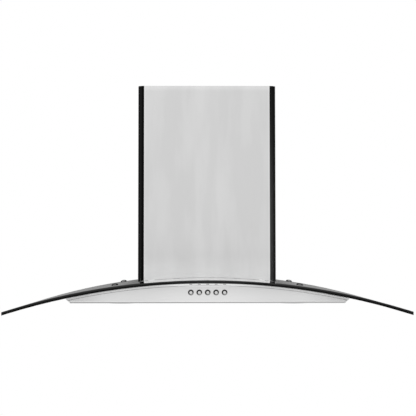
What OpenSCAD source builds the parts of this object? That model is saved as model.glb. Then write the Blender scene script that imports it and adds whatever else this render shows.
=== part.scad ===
// Wall mount range hood with a curved glass canopy and a telescoping chimney.
// X runs across the hood, +Y points into the wall and +Z up.
// The origin is on the wall plane, at the centre of the four wall screws.

/* [Glass canopy] */
// Width of the glass
glass_w = 900; // [860:5:940]
// Depth of the glass, measured from the wall
glass_d = 500; // [490:5:520]
// Thickness of the glass
glass_t = 7; // [5:0.5:8]
// Radius that the glass is bent to, on its top face
glass_r = 1490; // [1400:1:1600]
// Radius of the front corners in plan
glass_corner_r = 14; // [6:1:24]
// How far the chimney covers the cut-out round the blower box, on each side
cutout_side_cover = 9.5; // [7:0.5:12]
// How far the chimney covers that cut-out at the front
cutout_front_cover = 10; // [7:1:12]
// Gap between the glass and the wall
glass_wall_gap = 1; // [0.5:0.5:3]

/* [Canopy body] */
// Width of the body along its underside
body_w = 603; // [590:1:620]
// Height of the body at its middle
body_h = 43; // [42:0.5:50]
// Flare of the ends, from the vertical
end_angle = 47.6; // [35:0.2:55]
// How far the front face stands behind the front edge of the glass
front_setback = 25; // [15:1:35]
// Sheet thickness of the body
sheet_t = 1; // [0.8:0.1:1.2]
// Height of the folded lip over the fascia
lip_h = 4; // [3:0.5:6]
// Height of the hem under the fascia
hem_h = 2.2; // [1.8:0.1:3]
// Seam round the fascia
seam = 0.6; // [0.4:0.1:0.9]
// Thickness of the fascia
fascia_t = 1.2; // [0.8:0.1:1.5]
// Depth of the fascia's folded edge
fascia_return = 9; // [6:1:12]
// Thickness of the gasket under the glass
gasket_t = 1; // [0.8:0.1:1.5]
// Width of the gasket strip
gasket_w = 14; // [10:1:18]

/* [Glass fixings] */
// Distance of the glass screws from the middle
cap_x = 212; // [205:1:225]
// Distance of the front pair from the wall
cap_front = 375; // [350:1:390]
// Distance of the rear pair from the wall
cap_rear = 95; // [70:1:110]
// Diameter of the domed caps
cap_d = 16; // [14:0.5:18]
// Height of the domed caps
cap_h = 5.5; // [5.2:0.1:6.5]
// Diameter of the glass screws
glass_screw_d = 5; // [4:0.5:6]
// Wall of the rubber bush in each glass hole
bush_wall = 1.5; // [1:0.25:2]

/* [Buttons] */
// Distance between two buttons
button_pitch = 18.5; // [16:0.5:20]
// Height of the buttons' centres below the crown of the glass
button_drop = 27.6; // [26:0.2:29]
// Diameter of a button cap
button_d = 10; // [9:0.5:11]
// Width of the bezel ring round a button
bezel_ring = 1.4; // [1.2:0.1:1.8]
// How far the bezel stands out of the fascia
bezel_proud = 1.2; // [0.8:0.2:2]
// How far a button stands out of the fascia
button_proud = 3.4; // [3:0.2:4]
// Travel of a button
button_travel = 2.5; // [1.5:0.25:2.75]
// Depth of the switch block
switch_depth = 26; // [20:1:30]

/* [Lamps] */
// Distance of the lamps from the middle
lamp_x = 190; // [185:1:200]
// Distance of the lamps behind the front face
lamp_setback = 45; // [42:1:50]
// Diameter of the lamp body
lamp_d = 58; // [50:1:60]
// Width of the lamp's flange
lamp_flange = 4.5; // [3:0.5:6]
// Height of the lamp above the underside
lamp_h = 17; // [12:1:19]

/* [Filters] */
// Width of one filter
filter_w = 246; // [240:1:250]
// Distance of the filters behind the front face
filter_front = 95; // [90:1:110]
// Height of a filter
filter_h = 12; // [10:0.5:13]
// Distance of the filters' rear edge from the wall
filter_rear = 60; // [55:1:65]
// Width of the rail between the filters
rail_w = 8; // [6:1:10]
// Width of the filter frame's rims
rim_w = 14; // [12:1:16]
// Number of baffles in the lower row
baffle_count = 8; // [6:1:9]
// Sheet thickness of the filters
filter_sheet = 0.8; // [0.6:0.1:1]
// Travel of a filter latch
latch_travel = 4; // [3:0.5:5]

/* [Chimney] */
// Width of the chimney
chimney_w = 331; // [315:1:345]
// Depth of the chimney from the wall
chimney_d = 280; // [270:1:290]
// Height of the chimney's top above the crown of the glass
chimney_h = 461; // [440:1:500]
// Bevel of the front corners, across the width
bevel_x = 12.8; // [10:0.2:18]
// Bevel of the front corners, along the depth
bevel_y = 17; // [12:1:20]
// Sheet thickness of the covers
cover_t = 1; // [0.8:0.1:1.2]
// Thickness of the corner strips
trim_t = 1.5; // [1:0.1:2]
// Sliding gap between the two covers
cover_gap = 1.2; // [0.8:0.1:1.5]
// Width of the folds along the wall edges of the covers
cover_fold = 7; // [5:0.5:7.5]
// Travel of the upper cover
cover_travel = 350; // [300:5:355]
// Overlap of the two covers at the end of that travel
cover_overlap = 56; // [50:1:80]

/* [Blower] */
// Room for a spanner between the wall screws and the side of the blower box
screw_room = 17; // [15:1:20]
// Gap between the blower box and the front of the cut-out
box_front_gap = 8; // [5:1:12]
// Height of the blower box's top above the crown of the glass
box_top = 235; // [230:1:245]
// Sheet thickness of the blower parts
blower_t = 1.2; // [1:0.1:1.5]
// Gap between the scroll and the back of the blower box
scroll_rear_gap = 1.6; // [1:0.1:4]
// Space between the scroll and the front of the blower box
scroll_front_gap = 24.8; // [22:0.2:30]
// Width of the impeller
impeller_w = 116; // [100:2:118]
// Number of blades
blade_count = 36; // [24:1:40]
// Radial depth of the blades
blade_depth = 14; // [12:1:16]
// Thickness of a blade
blade_t = 0.8; // [0.6:0.1:1]
// Step of the scroll from one quarter to the next
volute_step = 12; // [10:1:12]
// Gap between the impeller and the scroll's tongue
tongue_gap = 8; // [6:0.5:8]
// Width of the scroll's outlet
outlet_w = 107; // [100:1:108]
// Height of the impeller's shaft below the wall screws
impeller_drop = 29; // [25:1:30]
// Radius of the motor
motor_r = 46; // [40:1:50]
// Length of the motor
motor_l = 66; // [55:1:68]
// Diameter of the motor shaft
shaft_d = 8; // [8:1:10]
// Running clearance of the shaft and of the flap hinges, on the radius
run_gap = 0.06; // [0.03:0.01:0.09]

/* [Exhaust] */
// Outer diameter of the exhaust collar
collar_d = 150; // [120:5:150]
// Height of the exhaust collar
collar_h = 50; // [46:1:60]
// Wall of the exhaust collar
collar_t = 2; // [1.5:0.1:2.5]
// Distance of the collar's centre from the front of the blower box
collar_front = 90; // [86:1:94]
// Diameter of the rod that carries the damper flaps
rod_d = 4; // [3:0.5:5]
// Thickness of the damper flaps
flap_t = 1.5; // [1:0.1:2]

/* [Wall mounting] */
// Height of the wall screws' centre above the crown of the glass
hang_z = 150; // [145:1:155]
// Distance of the wall screws from the sides of the cut-out
wall_screw_inset = 13; // [11:1:15]
// Distance of the wall screws in height
wall_span_z = 160; // [120:5:165]
// Diameter of the wall screw holes
wall_hole_d = 8; // [6:0.5:9]
// Thickness of the wall frame
frame_t = 2; // [1.5:0.5:3]
// Distance of the upper bracket's screws
bracket_span = 200; // [160:5:240]
// Diameter of the upper bracket's screw holes
bracket_hole_d = 6; // [5:0.5:7]

/* [Hidden] */

// As many buttons as NODES names
button_count = 5;

$fn = 48;
// Facets of a full circle of the glass's radius
arc_fn = 720;
// Overshoot of a cut past the face that it opens
cut = 1;
// Gap between seated pieces
seat = 0.3;
// Gap between curved faces that lie on each other
film = 0.1;
// Gap round a piece that moves
free = 0.4;

// From the chimney inwards: the cut-out, the wall screws, the blower box, its scroll and
// its wheel
cutout_w = chimney_w - 2 * cutout_side_cover;
cutout_d = chimney_d - cutout_front_cover;
wall_span_x = cutout_w - 2 * wall_screw_inset;
box_w = wall_span_x - 2 * screw_room;
box_d = cutout_d - box_front_gap;
volute_half = volute_step / 2;
first_r = (box_d - frame_t - 3 * blower_t - scroll_rear_gap - scroll_front_gap) / 2
    - 3 * volute_half;
last_r = first_r + 2 * volute_step;
impeller_r = first_r - tongue_gap - volute_half;

crown_z = -hang_z;
arc_z = crown_z - glass_r;
glass_in_r = glass_r - glass_t;
shell_r = glass_in_r - gasket_t;
shell_z = arc_z + shell_r;
body_z = shell_z - body_h;
pan_z = body_z + sheet_t;
front_y = front_setback - glass_d;
cap_places = [[-cap_x, -cap_front], [cap_x, -cap_front], [-cap_x, -cap_rear], [cap_x, -cap_rear]];
glass_hole_d = glass_screw_d + 2 * (bush_wall + 2 * seat);
glass_head_d = 9;
glass_head_h = 2.2;
bush_collar_t = 0.8;

button_z = crown_z - button_drop;
bezel_d = button_d + 2 * bezel_ring;
bezel_bore_d = button_d + 2 * free;
bezel_barrel_d = bezel_bore_d + 1.4;
bezel_l = 6;
button_l = 8;
stem_d = 5;
switch_front = front_y + fascia_t + bezel_l + button_travel;

lamp_y = front_y + lamp_setback;
lens_t = 2;
lens_seat = 1.5;

steel = [0.76, 0.76, 0.76];
galvanised = [0.62, 0.65, 0.67];
black = [0.06, 0.06, 0.065];
glass_grey = [0.55, 0.6, 0.6, 0.5];

function button_x(i) = (i - (button_count + 1) / 2) * button_pitch;

// Extrudes an outline drawn in X and Z from y0 to y1
module along_y(y0, y1) {
    translate([0, y1, 0])
        rotate([90, 0, 0])
            linear_extrude(y1 - y0)
                children();
}

// Extrudes an outline drawn in Y and Z from x0 to x1
module along_x(x0, x1) {
    translate([x0, 0, 0])
        rotate([90, 0, 90])
            linear_extrude(x1 - x0)
                children();
}

// A block given by its lowest and highest corners
module block(lo, hi) {
    translate(lo)
        cube(hi - lo);
}

module ring(outer, inner, h) {
    difference() {
        cylinder(r = outer, h = h);
        translate([0, 0, -cut])
            cylinder(r = inner, h = h + 2 * cut);
    }
}

// How far a bend of radius r falls at distance x from the middle
function bend_drop(x, r) = r - sqrt(pow(r, 2) - pow(x, 2));

// Disc in X and Z, concentric with the bend of the glass
module bend_disc(r) {
    translate([0, arc_z])
        circle(r = r, $fn = arc_fn);
}

// Places children square to the glass where its top face is x from the middle, with
// Z = 0 at radius r
module on_bend(x, y, r) {
    translate([0, y, arc_z])
        rotate([0, asin(x / glass_r), 0])
            translate([0, 0, r])
                children();
}

// Outline of the canopy body in X and Z, drawn in by inset on every side
module body_outline(inset) {
    foot = body_w / 2 + inset * (tan(end_angle) - 1 / cos(end_angle));
    head = body_w / 2 + body_h * tan(end_angle) - inset / cos(end_angle);
    intersection() {
        bend_disc(shell_r - inset);
        polygon([[-foot, body_z + inset], [foot, body_z + inset],
            [head, shell_z], [-head, shell_z]]);
    }
}

// The air opening between the body and the blower box, inside the box's walls
air_margin = 12;
air_half_w = box_w / 2 - air_margin;
air_front = box_d - air_margin;
air_rear = frame_t + air_margin;

module canopy_shell() {
    color(steel)
        difference() {
            union() {
                difference() {
                    along_y(front_y, 0)
                        body_outline(0);
                    along_y(front_y - cut, -sheet_t)
                        body_outline(sheet_t);
                }
                along_y(front_y, front_y + sheet_t)
                    difference() {
                        body_outline(0);
                        intersection() {
                            bend_disc(shell_r - lip_h);
                            body_outline(hem_h);
                        }
                    }
            }
            block([-body_w, front_y - cut, body_z - cut], [body_w, cut, pan_z]);
            block([-body_w, front_y - cut, body_z - cut],
                [body_w, front_y + sheet_t, body_z + hem_h]);
            block([-air_half_w, -air_front, shell_z - bend_drop(air_half_w, shell_r) - 2 * sheet_t],
                [air_half_w, -air_rear, shell_z + cut]);
            for (p = cap_places)
                on_bend(p[0], p[1], shell_r - 3 * sheet_t)
                    cylinder(d = glass_screw_d + 2 * seat, h = 4 * sheet_t);
        }
}

module fascia_outline(inset) {
    intersection() {
        bend_disc(shell_r - lip_h - seam - inset);
        body_outline(hem_h + seam + inset);
    }
}

module control_fascia() {
    color(steel)
        difference() {
            union() {
                along_y(front_y, front_y + fascia_t)
                    fascia_outline(0);
                along_y(front_y, front_y + fascia_return)
                    difference() {
                        fascia_outline(0);
                        fascia_outline(fascia_t);
                    }
            }
            for (i = [1:button_count])
                at_button(i)
                    translate([0, 0, -fascia_t - cut])
                        cylinder(d = bezel_barrel_d + 2 * seat, h = fascia_t + 2 * cut);
        }
}

// Places children at button i, with Z = 0 on the face of the fascia and +Z towards the room
module at_button(i) {
    translate([button_x(i), front_y, button_z])
        rotate([90, 0, 0])
            children();
}

// The filters and the openings that they fill
side_gap = 1.5;
rear_gap = 3;
bay_in = rail_w / 2 + seat + sheet_t;
filter_x0 = bay_in + side_gap;
filter_x1 = filter_x0 + filter_w;
filter_x = filter_x0 + filter_w / 2;
bay_out = filter_x1 + side_gap;
filter_y1 = -filter_rear;
filter_y0 = front_y + filter_front;
bay_y0 = filter_y0 - side_gap;
bay_y1 = filter_y1 + rear_gap;
filter_recess = 0.5;
filter_z = body_z + filter_recess;
upstand_h = 9;

module bottom_pan() {
    color(steel)
        difference() {
            union() {
                block([-body_w / 2, front_y, body_z], [body_w / 2, 0, pan_z]);
                along_y(front_y, front_y + sheet_t)
                    difference() {
                        body_outline(0);
                        translate([-body_w, body_z + hem_h])
                            square([2 * body_w, body_h]);
                    }
                for (side = [0, 1])
                    mirror([side, 0, 0]) {
                        block([bay_in - sheet_t, bay_y0, body_z],
                            [bay_in, bay_y1, pan_z + upstand_h]);
                        block([bay_out, bay_y0, body_z],
                            [bay_out + sheet_t, bay_y1, pan_z + upstand_h]);
                    }
            }
            for (side = [0, 1])
                mirror([side, 0, 0]) {
                    block([bay_in, bay_y0, body_z - cut], [bay_out, bay_y1, pan_z + cut]);
                    translate([lamp_x, lamp_y, body_z - cut])
                        cylinder(d = lamp_d + 2 * seat, h = sheet_t + 2 * cut);
                }
        }
}

// Channel that stiffens the strip between the two filter openings
module filter_rail() {
    rail_h = 14;
    color(galvanised)
        along_y(bay_y0, bay_y1)
            difference() {
                translate([-rail_w / 2, pan_z])
                    square([rail_w, rail_h]);
                translate([-rail_w / 2 + sheet_t, pan_z - cut])
                    square([rail_w - 2 * sheet_t, rail_h - sheet_t + cut]);
            }
}

// Plan of the glass: rounded at the two front corners, with the cut-out at the wall
module glass_plan() {
    difference() {
        union() {
            translate([-glass_w / 2 + glass_corner_r, -glass_d])
                square([glass_w - 2 * glass_corner_r, glass_d - glass_wall_gap]);
            translate([-glass_w / 2, -glass_d + glass_corner_r])
                square([glass_w, glass_d - glass_corner_r - glass_wall_gap]);
            for (side = [-1, 1])
                translate([side * (glass_w / 2 - glass_corner_r), -glass_d + glass_corner_r])
                    circle(r = glass_corner_r);
        }
        translate([-cutout_w / 2, -cutout_d])
            square([cutout_w, cutout_d]);
    }
}

module glass_canopy() {
    tip_drop = bend_drop(glass_w / 2, glass_r);
    color(glass_grey)
        difference() {
            intersection() {
                along_y(-glass_d, 0)
                    difference() {
                        bend_disc(glass_r);
                        bend_disc(glass_in_r);
                    }
                translate([0, 0, crown_z - tip_drop - 2 * glass_t])
                    linear_extrude(tip_drop + 3 * glass_t)
                        glass_plan();
            }
            for (p = cap_places)
                on_bend(p[0], p[1], glass_in_r - cut)
                    cylinder(d = glass_hole_d, h = glass_t + 2 * cut);
        }
}

// Foam frame between the body and the glass, round its edge
module glass_gasket() {
    edge = 6;
    reach = body_w / 2 - edge;
    front = front_y + edge;
    rear = -edge;
    color("dimgray")
        intersection() {
            along_y(front, rear)
                difference() {
                    bend_disc(glass_in_r - film);
                    bend_disc(shell_r + film);
                }
            translate([0, 0, body_z])
                linear_extrude(2 * body_h)
                    difference() {
                        translate([-reach, front])
                            square([2 * reach, rear - front]);
                        translate([-reach + gasket_w, front + gasket_w])
                            square([2 * (reach - gasket_w), glass_d]);
                        translate([-cutout_w / 2, -cutout_d])
                            square([cutout_w, cutout_d]);
                    }
        }
}

module glass_bushes() {
    bush_d = glass_hole_d - 2 * seat;
    collar_inset = 1;
    color("dimgray")
        for (p = cap_places)
            on_bend(p[0], p[1], glass_in_r) {
                ring(bush_d / 2, glass_screw_d / 2 + seat, glass_t);
                translate([0, 0, glass_t])
                    ring(cap_d / 2 - collar_inset, glass_screw_d / 2 + seat, bush_collar_t);
            }
}

// Button-head screws through the glass, each with a nut under the body's top sheet
module glass_screws() {
    head_seat = glass_t + bush_collar_t;
    nut_h = 4;
    below = gasket_t + sheet_t + nut_h;
    color("gray")
        for (p = cap_places)
            on_bend(p[0], p[1], glass_in_r) {
                translate([0, 0, -below])
                    cylinder(d = glass_screw_d, h = below + head_seat);
                translate([0, 0, head_seat])
                    cylinder(d = glass_head_d, h = glass_head_h);
                translate([0, 0, -below])
                    cylinder(d = glass_head_d, h = nut_h, $fn = 6);
            }
}

// Domed cap over each screw head: a slice of a sphere, hollow below
module glass_caps() {
    dome_h = cap_h - bush_collar_t;
    sphere_r = (pow(cap_d / 2, 2) + pow(dome_h, 2)) / (2 * dome_h);
    color([0.3, 0.3, 0.31])
        for (p = cap_places)
            on_bend(p[0], p[1], glass_r + bush_collar_t)
                difference() {
                    intersection() {
                        translate([0, 0, dome_h - sphere_r])
                            sphere(r = sphere_r);
                        cylinder(r = cap_d, h = cap_h);
                    }
                    translate([0, 0, -cut])
                        cylinder(d = glass_head_d + 2 * seat, h = glass_head_h + seat + cut);
                }
}

// Bezel: a ring on the fascia and a barrel through its hole
module bezel(i) {
    color([0.25, 0.25, 0.26])
        at_button(i)
            difference() {
                union() {
                    cylinder(d = bezel_d, h = bezel_proud);
                    translate([0, 0, -bezel_l - fascia_t])
                        cylinder(d = bezel_barrel_d, h = bezel_l + fascia_t + cut / 2);
                }
                translate([0, 0, -bezel_l - fascia_t - cut])
                    cylinder(d = bezel_bore_d, h = bezel_l + fascia_t + bezel_proud + 2 * cut);
            }
}

// Button: a dished cap on a stem that runs into the switch block
module button(i) {
    stem_l = switch_depth * 0.6 + button_travel;
    dish_r = 24;
    dish_depth = 0.4;
    color([0.7, 0.7, 0.71])
        at_button(i)
            difference() {
                union() {
                    translate([0, 0, button_proud - button_l])
                        cylinder(d = button_d, h = button_l);
                    translate([0, 0, button_proud - button_l - stem_l])
                        cylinder(d = stem_d, h = stem_l + cut);
                }
                translate([0, 0, button_proud + dish_r - dish_depth])
                    sphere(r = dish_r);
            }
}

switch_margin = 14;
switch_half_w = button_x(button_count) + switch_margin;

// Switch block, with the stems' guides, on a folded bracket that stands on the pan
module switch_block() {
    block_h = 20;
    half_w = switch_half_w;
    guide_l = switch_depth * 0.9;
    back_y = switch_front + switch_depth;
    color(black)
        difference() {
            union() {
                block([-half_w, switch_front, button_z - block_h / 2],
                    [half_w, back_y, button_z + block_h / 2]);
                block([-half_w, back_y - sheet_t, pan_z], [half_w, back_y, button_z]);
                block([-half_w, switch_front, pan_z], [half_w, back_y, pan_z + sheet_t]);
            }
            for (i = [1:button_count])
                at_button(i)
                    translate([0, 0, front_y - switch_front - guide_l])
                        cylinder(d = stem_d + 2 * free, h = guide_l + cut);
        }
}

lamp_flange_t = 1.5;
lens_rim = 3;
lens_hole_d = lamp_d - 2 * lens_rim;

// Recessed lamp: flange under the pan, can above it with cooling fins, open for the lens
module lamp_housing(side) {
    can_wall = 5;
    can_top = 3;
    fin_count = 12;
    fin_l = 7;
    fin_t = 1.5;
    fin_h = 4;
    fin_r = lamp_d / 2 - 2;
    color("silver")
        translate([side * lamp_x, lamp_y, body_z])
            difference() {
                union() {
                    translate([0, 0, -lamp_flange_t])
                        cylinder(d = lamp_d + 2 * lamp_flange, h = lamp_flange_t);
                    cylinder(d = lamp_d, h = lamp_h);
                    for (i = [1:fin_count])
                        rotate([0, 0, 360 * i / fin_count])
                            translate([fin_r - fin_l, -fin_t / 2, lamp_h - cut])
                                cube([fin_l, fin_t, cut + fin_h]);
                }
                translate([0, 0, -lamp_flange_t - cut])
                    cylinder(d = lens_hole_d, h = lens_seat + cut + lens_t);
                cylinder(d = lamp_d - 2 * can_wall, h = lamp_h - can_top);
            }
}

module lamp_lens(side) {
    color("white")
        translate([side * lamp_x, lamp_y, body_z - lamp_flange_t + lens_seat])
            cylinder(d = lens_hole_d - 2 * seat, h = lens_t);
}

// Filter frame: rims of folded channel, with tabs at the rear and a latch slot in front
tab_t = 1.2;
tab_lift = 0.5;
tab_l = 8;
tab_half_w = 12;
tab_shares = [0.2, 0.8];
hinge_y = bay_y1 - seat;
hinge_z = pan_z + tab_lift + tab_t / 2;
latch_w = 44;
latch_bar_w = 22;
latch_bar_t = 2;
latch_inset = 5;
latch_lift = 0.5;
latch_y = filter_y0 + latch_inset;
neck_w = 12;
neck_l = 4;
latch_bar_z = pan_z + latch_lift;

module filter_frame() {
    color(steel)
        union() {
            difference() {
                block([filter_x0, filter_y0, filter_z], [filter_x1, filter_y1, filter_z + filter_h]);
                block([filter_x0 + rim_w, filter_y0 + rim_w, filter_z - cut],
                    [filter_x1 - rim_w, filter_y1 - rim_w, filter_z + filter_h + cut]);
                block([filter_x0 + filter_sheet, filter_y0 + filter_sheet, filter_z + filter_sheet],
                    [filter_x1 - filter_sheet, filter_y1 - filter_sheet,
                        filter_z + filter_h - filter_sheet]);
                latch_cut();
            }
            for (share = tab_shares)
                translate([filter_x0 + share * filter_w, 0, 0])
                    block([-tab_half_w, filter_y1 - filter_sheet, pan_z + tab_lift],
                        [tab_half_w, filter_y1 + tab_l + rear_gap, pan_z + tab_lift + tab_t]);
        }
}

// Slot for the latch's neck in the front rim, and a window for its bar in the front wall
module latch_cut() {
    translate([filter_x, 0, 0]) {
        block([-neck_w / 2 - free, latch_y - neck_l / 2 - free, filter_z - cut],
            [neck_w / 2 + free, latch_y + neck_l / 2 + latch_travel + free, filter_z + filter_sheet + cut]);
        block([-latch_bar_w / 2 - free, filter_y0 - cut, latch_bar_z - free],
            [latch_bar_w / 2 + free, filter_y0 + filter_sheet + cut, latch_bar_z + latch_bar_t + free]);
    }
}

// Sprung latch: a grip under the rim, a neck through its slot and a bar with the nose
module filter_latch() {
    plate_t = 1.5;
    grip_h = 1.5;
    grip_t = 2;
    nose_gap = 0.5;
    plate_z = filter_z - free - plate_t;
    color([0.2, 0.2, 0.2])
        translate([filter_x, 0, 0]) {
            block([-latch_w / 2, latch_y - neck_l, plate_z],
                [latch_w / 2, latch_y + 2 * neck_l, plate_z + plate_t]);
            block([-latch_w / 2, latch_y - neck_l, plate_z - grip_h],
                [latch_w / 2, latch_y - neck_l + grip_t, plate_z + plate_t]);
            block([-neck_w / 2, latch_y - neck_l / 2, plate_z],
                [neck_w / 2, latch_y + neck_l / 2, latch_bar_z + latch_bar_t]);
            block([-latch_bar_w / 2, bay_y0 + nose_gap, latch_bar_z],
                [latch_bar_w / 2, latch_y + neck_l / 2, latch_bar_z + latch_bar_t]);
        }
}

// How far the baffles' ends sit inside the rims
baffle_seat = 2.5;

// One baffle: a channel with sloping sides, open upwards
module baffle(w, h) {
    slope = 2;
    along_y(filter_y0 + rim_w - baffle_seat, filter_y1 - rim_w + baffle_seat)
        difference() {
            polygon([[-w / 2 + slope, 0], [w / 2 - slope, 0], [w / 2, h], [-w / 2, h]]);
            polygon([[-w / 2 + slope + filter_sheet, filter_sheet],
                [w / 2 - slope - filter_sheet, filter_sheet],
                [w / 2 - filter_sheet, h + cut], [-w / 2 + filter_sheet, h + cut]]);
        }
}

module filter_baffles() {
    end_gap = 1;
    width_share = 0.68;
    nesting = 0.7;
    inner_w = filter_w - 2 * filter_sheet - 2 * end_gap;
    pitch = inner_w / (baffle_count + width_share / 2);
    w = pitch * width_share;
    row_h = filter_h / 2 - filter_sheet + nesting;
    low_z = filter_z + filter_sheet + seat;
    high_z = filter_z + filter_h - filter_sheet - seat;
    first = filter_x - (baffle_count - 1) / 2 * pitch;
    color([0.66, 0.66, 0.67]) {
        for (i = [0:baffle_count - 1])
            translate([first + i * pitch, 0, low_z])
                baffle(w, row_h);
        for (i = [0:baffle_count - 2])
            translate([first + (i + 0.5) * pitch, 0, high_z])
                mirror([0, 0, 1])
                    baffle(w, row_h);
    }
}

// Outline of a chimney cover in plan, drawn in by inset, its bevels by bevel_inset
function cover_points(inset, bevel_inset) =
    let (half = chimney_w / 2, slant = norm([bevel_x, bevel_y]),
        corner_y = bevel_y - chimney_d + (bevel_inset * slant - inset * bevel_y) / bevel_x,
        corner_x = half - bevel_x + (inset * bevel_x - bevel_inset * slant) / bevel_y)
    [[half - inset, 0], [half - inset, corner_y], [corner_x, inset - chimney_d],
        [-corner_x, inset - chimney_d], [-half + inset, corner_y], [-half + inset, 0]];

// U-shaped cover with small folds along its two wall edges
module cover_plan(inset, rear) {
    bevel_inset = inset + trim_t;
    difference() {
        polygon(cover_points(inset, bevel_inset));
        difference() {
            polygon(cover_points(inset + cover_t, bevel_inset + cover_t));
            for (side = [-1, 1])
                translate([side * (chimney_w / 2 - inset - cover_fold / 2) - cover_fold / 2, -rear - cover_t])
                    square([cover_fold, 2 * cover_t + rear]);
        }
        translate([-chimney_w, -rear])
            square([2 * chimney_w, rear + cut]);
        translate([-chimney_w / 2 + inset + cover_fold, -rear - 2 * cover_t])
            square([chimney_w - 2 * inset - 2 * cover_fold, rear + 3 * cover_t]);
    }
}

chimney_z = crown_z + chimney_h;
upper_inset = cover_t + cover_gap;
upper_rear = cover_t + cover_gap / 2;
upper_recess = 3;
upper_z = chimney_z - cover_travel - cover_overlap;
upper_top = chimney_z - upper_recess;
cover_screw_rise = 38;
cover_screw_y = -chimney_d / 2;
cover_screw_z = crown_z + cover_screw_rise;
cover_screw_d = 4;

// Everything below the glass's top face, with a gap over it
module below_glass(gap) {
    along_y(-2 * glass_d, glass_d)
        bend_disc(glass_r + gap);
}

module chimney_lower() {
    color(steel)
        difference() {
            translate([0, 0, crown_z - glass_t * 3])
                linear_extrude(chimney_h + glass_t * 3)
                    cover_plan(0, 0);
            below_glass(seat);
            for (side = [-1, 1])
                translate([side * chimney_w / 2, cover_screw_y, cover_screw_z])
                    rotate([0, 90, 0])
                        cylinder(d = cover_screw_d + 2 * seat, h = 6 * cover_t, center = true);
        }
}

// Corner strip: fills the bevel out to a rounded corner
module chimney_trim(side) {
    outer = cover_points(0, 0);
    inner = cover_points(0, trim_t);
    half = chimney_w / 2;
    color(black)
        difference() {
            translate([0, 0, crown_z - glass_t * 3])
                linear_extrude(chimney_h + glass_t * 3)
                    scale([side, 1])
                        intersection() {
                            polygon([outer[1], [half, -chimney_d], outer[2], inner[2], inner[1]]);
                            union() {
                                translate([half - bevel_x, bevel_x - chimney_d])
                                    circle(r = bevel_x);
                                translate([0, bevel_x - chimney_d])
                                    square([half, chimney_d]);
                                translate([0, -chimney_d])
                                    square([half - bevel_x, chimney_d]);
                            }
                        }
            below_glass(seat);
        }
}

module chimney_upper() {
    slot_h = 5;
    slot_l = 70;
    slot_pitch = 12;
    slot_count = 6;
    slot_rear = 125;
    first_slot = 57;
    color(steel)
        difference() {
            translate([0, 0, upper_z])
                linear_extrude(upper_top - upper_z)
                    cover_plan(upper_inset, upper_rear);
            for (i = [0:slot_count - 1])
                block([-chimney_w, -slot_rear - slot_l, upper_top - first_slot - i * slot_pitch],
                    [chimney_w, -slot_rear, upper_top - first_slot - i * slot_pitch + slot_h]);
        }
}

// Strap at the head of the upper cover: wall plate, joggled arms and side tabs
module chimney_upper_bracket() {
    strap_h = 30;
    strap_drop = 8;
    arm_inset = 19;
    joggle_y = 12;
    tab_y = 45;
    arm_x = chimney_w / 2 - arm_inset;
    tab_x = chimney_w / 2 - upper_inset - cover_t - seat;
    color(galvanised)
        difference() {
            translate([0, 0, upper_top - strap_h - strap_drop])
                linear_extrude(strap_h) {
                    translate([-arm_x, -frame_t])
                        square([2 * arm_x, frame_t]);
                    for (side = [0, 1])
                        mirror([side, 0]) {
                            translate([arm_x - frame_t, -joggle_y])
                                square([frame_t, joggle_y]);
                            translate([arm_x - frame_t, -joggle_y])
                                square([tab_x - arm_x + frame_t, frame_t]);
                            translate([tab_x - frame_t, -tab_y])
                                square([frame_t, tab_y - joggle_y + frame_t]);
                        }
                }
            for (side = [-1, 1])
                translate([side * bracket_span / 2, 0, upper_top - strap_h / 2 - strap_drop])
                    rotate([90, 0, 0])
                        cylinder(d = bracket_hole_d, h = 4 * frame_t, center = true);
        }
}

// Stepped tabs on the blower box's foot that carry the lower cover's screws
module chimney_foot_brackets() {
    glass_gap = 6;
    step_rise = 14;
    half_l = 18;
    foot_x = box_w / 2 + seat;
    step_x = cutout_w / 2 - glass_gap;
    tab_x = chimney_w / 2 - cover_t - seat;
    base_z = shell_z - bend_drop(foot_x, shell_r) + blower_t + seat;
    step_z = crown_z + step_rise;
    top_z = upper_z - seat;
    color(galvanised)
        for (side = [0, 1])
            mirror([side, 0, 0])
                difference() {
                    along_y(cover_screw_y - half_l, cover_screw_y + half_l) {
                        translate([foot_x, base_z])
                            square([step_x - foot_x, frame_t]);
                        translate([step_x - frame_t, base_z])
                            square([frame_t, step_z - base_z + frame_t / 2]);
                        translate([step_x - frame_t, step_z])
                            square([tab_x - step_x + frame_t, frame_t]);
                        translate([tab_x - frame_t, step_z])
                            square([frame_t, top_z - step_z]);
                    }
                    translate([tab_x, cover_screw_y, cover_screw_z])
                        rotate([0, 90, 0])
                            cylinder(d = cover_screw_d + 2 * run_gap, h = 6 * frame_t, center = true);
                }
}

module cover_screws() {
    head_h = 1.8;
    shank_l = 8;
    color("gray")
        for (side = [-1, 1])
            translate([side * (chimney_w / 2 + film), cover_screw_y, cover_screw_z])
                rotate([0, side * 90, 0]) {
                    cylinder(d = 2 * cover_screw_d, h = head_h);
                    translate([0, 0, -shank_l])
                        cylinder(d = cover_screw_d, h = shank_l + cut / 2);
                }
}

// Blower box and the frame that it hangs on
box_z = crown_z + box_top;
box_y1 = -frame_t;
box_y0 = -box_d;
frame_gap = 2;
frame_w = cutout_w - 2 * frame_gap;
wheel_y = -frame_t - 2 * blower_t - scroll_rear_gap - volute_half - first_r;
wheel_z = -impeller_drop;
collar_y = collar_front - box_d;
foot_flange = 20;
foot_toe = 4;
box_foot_z = crown_z - 30;

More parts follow.
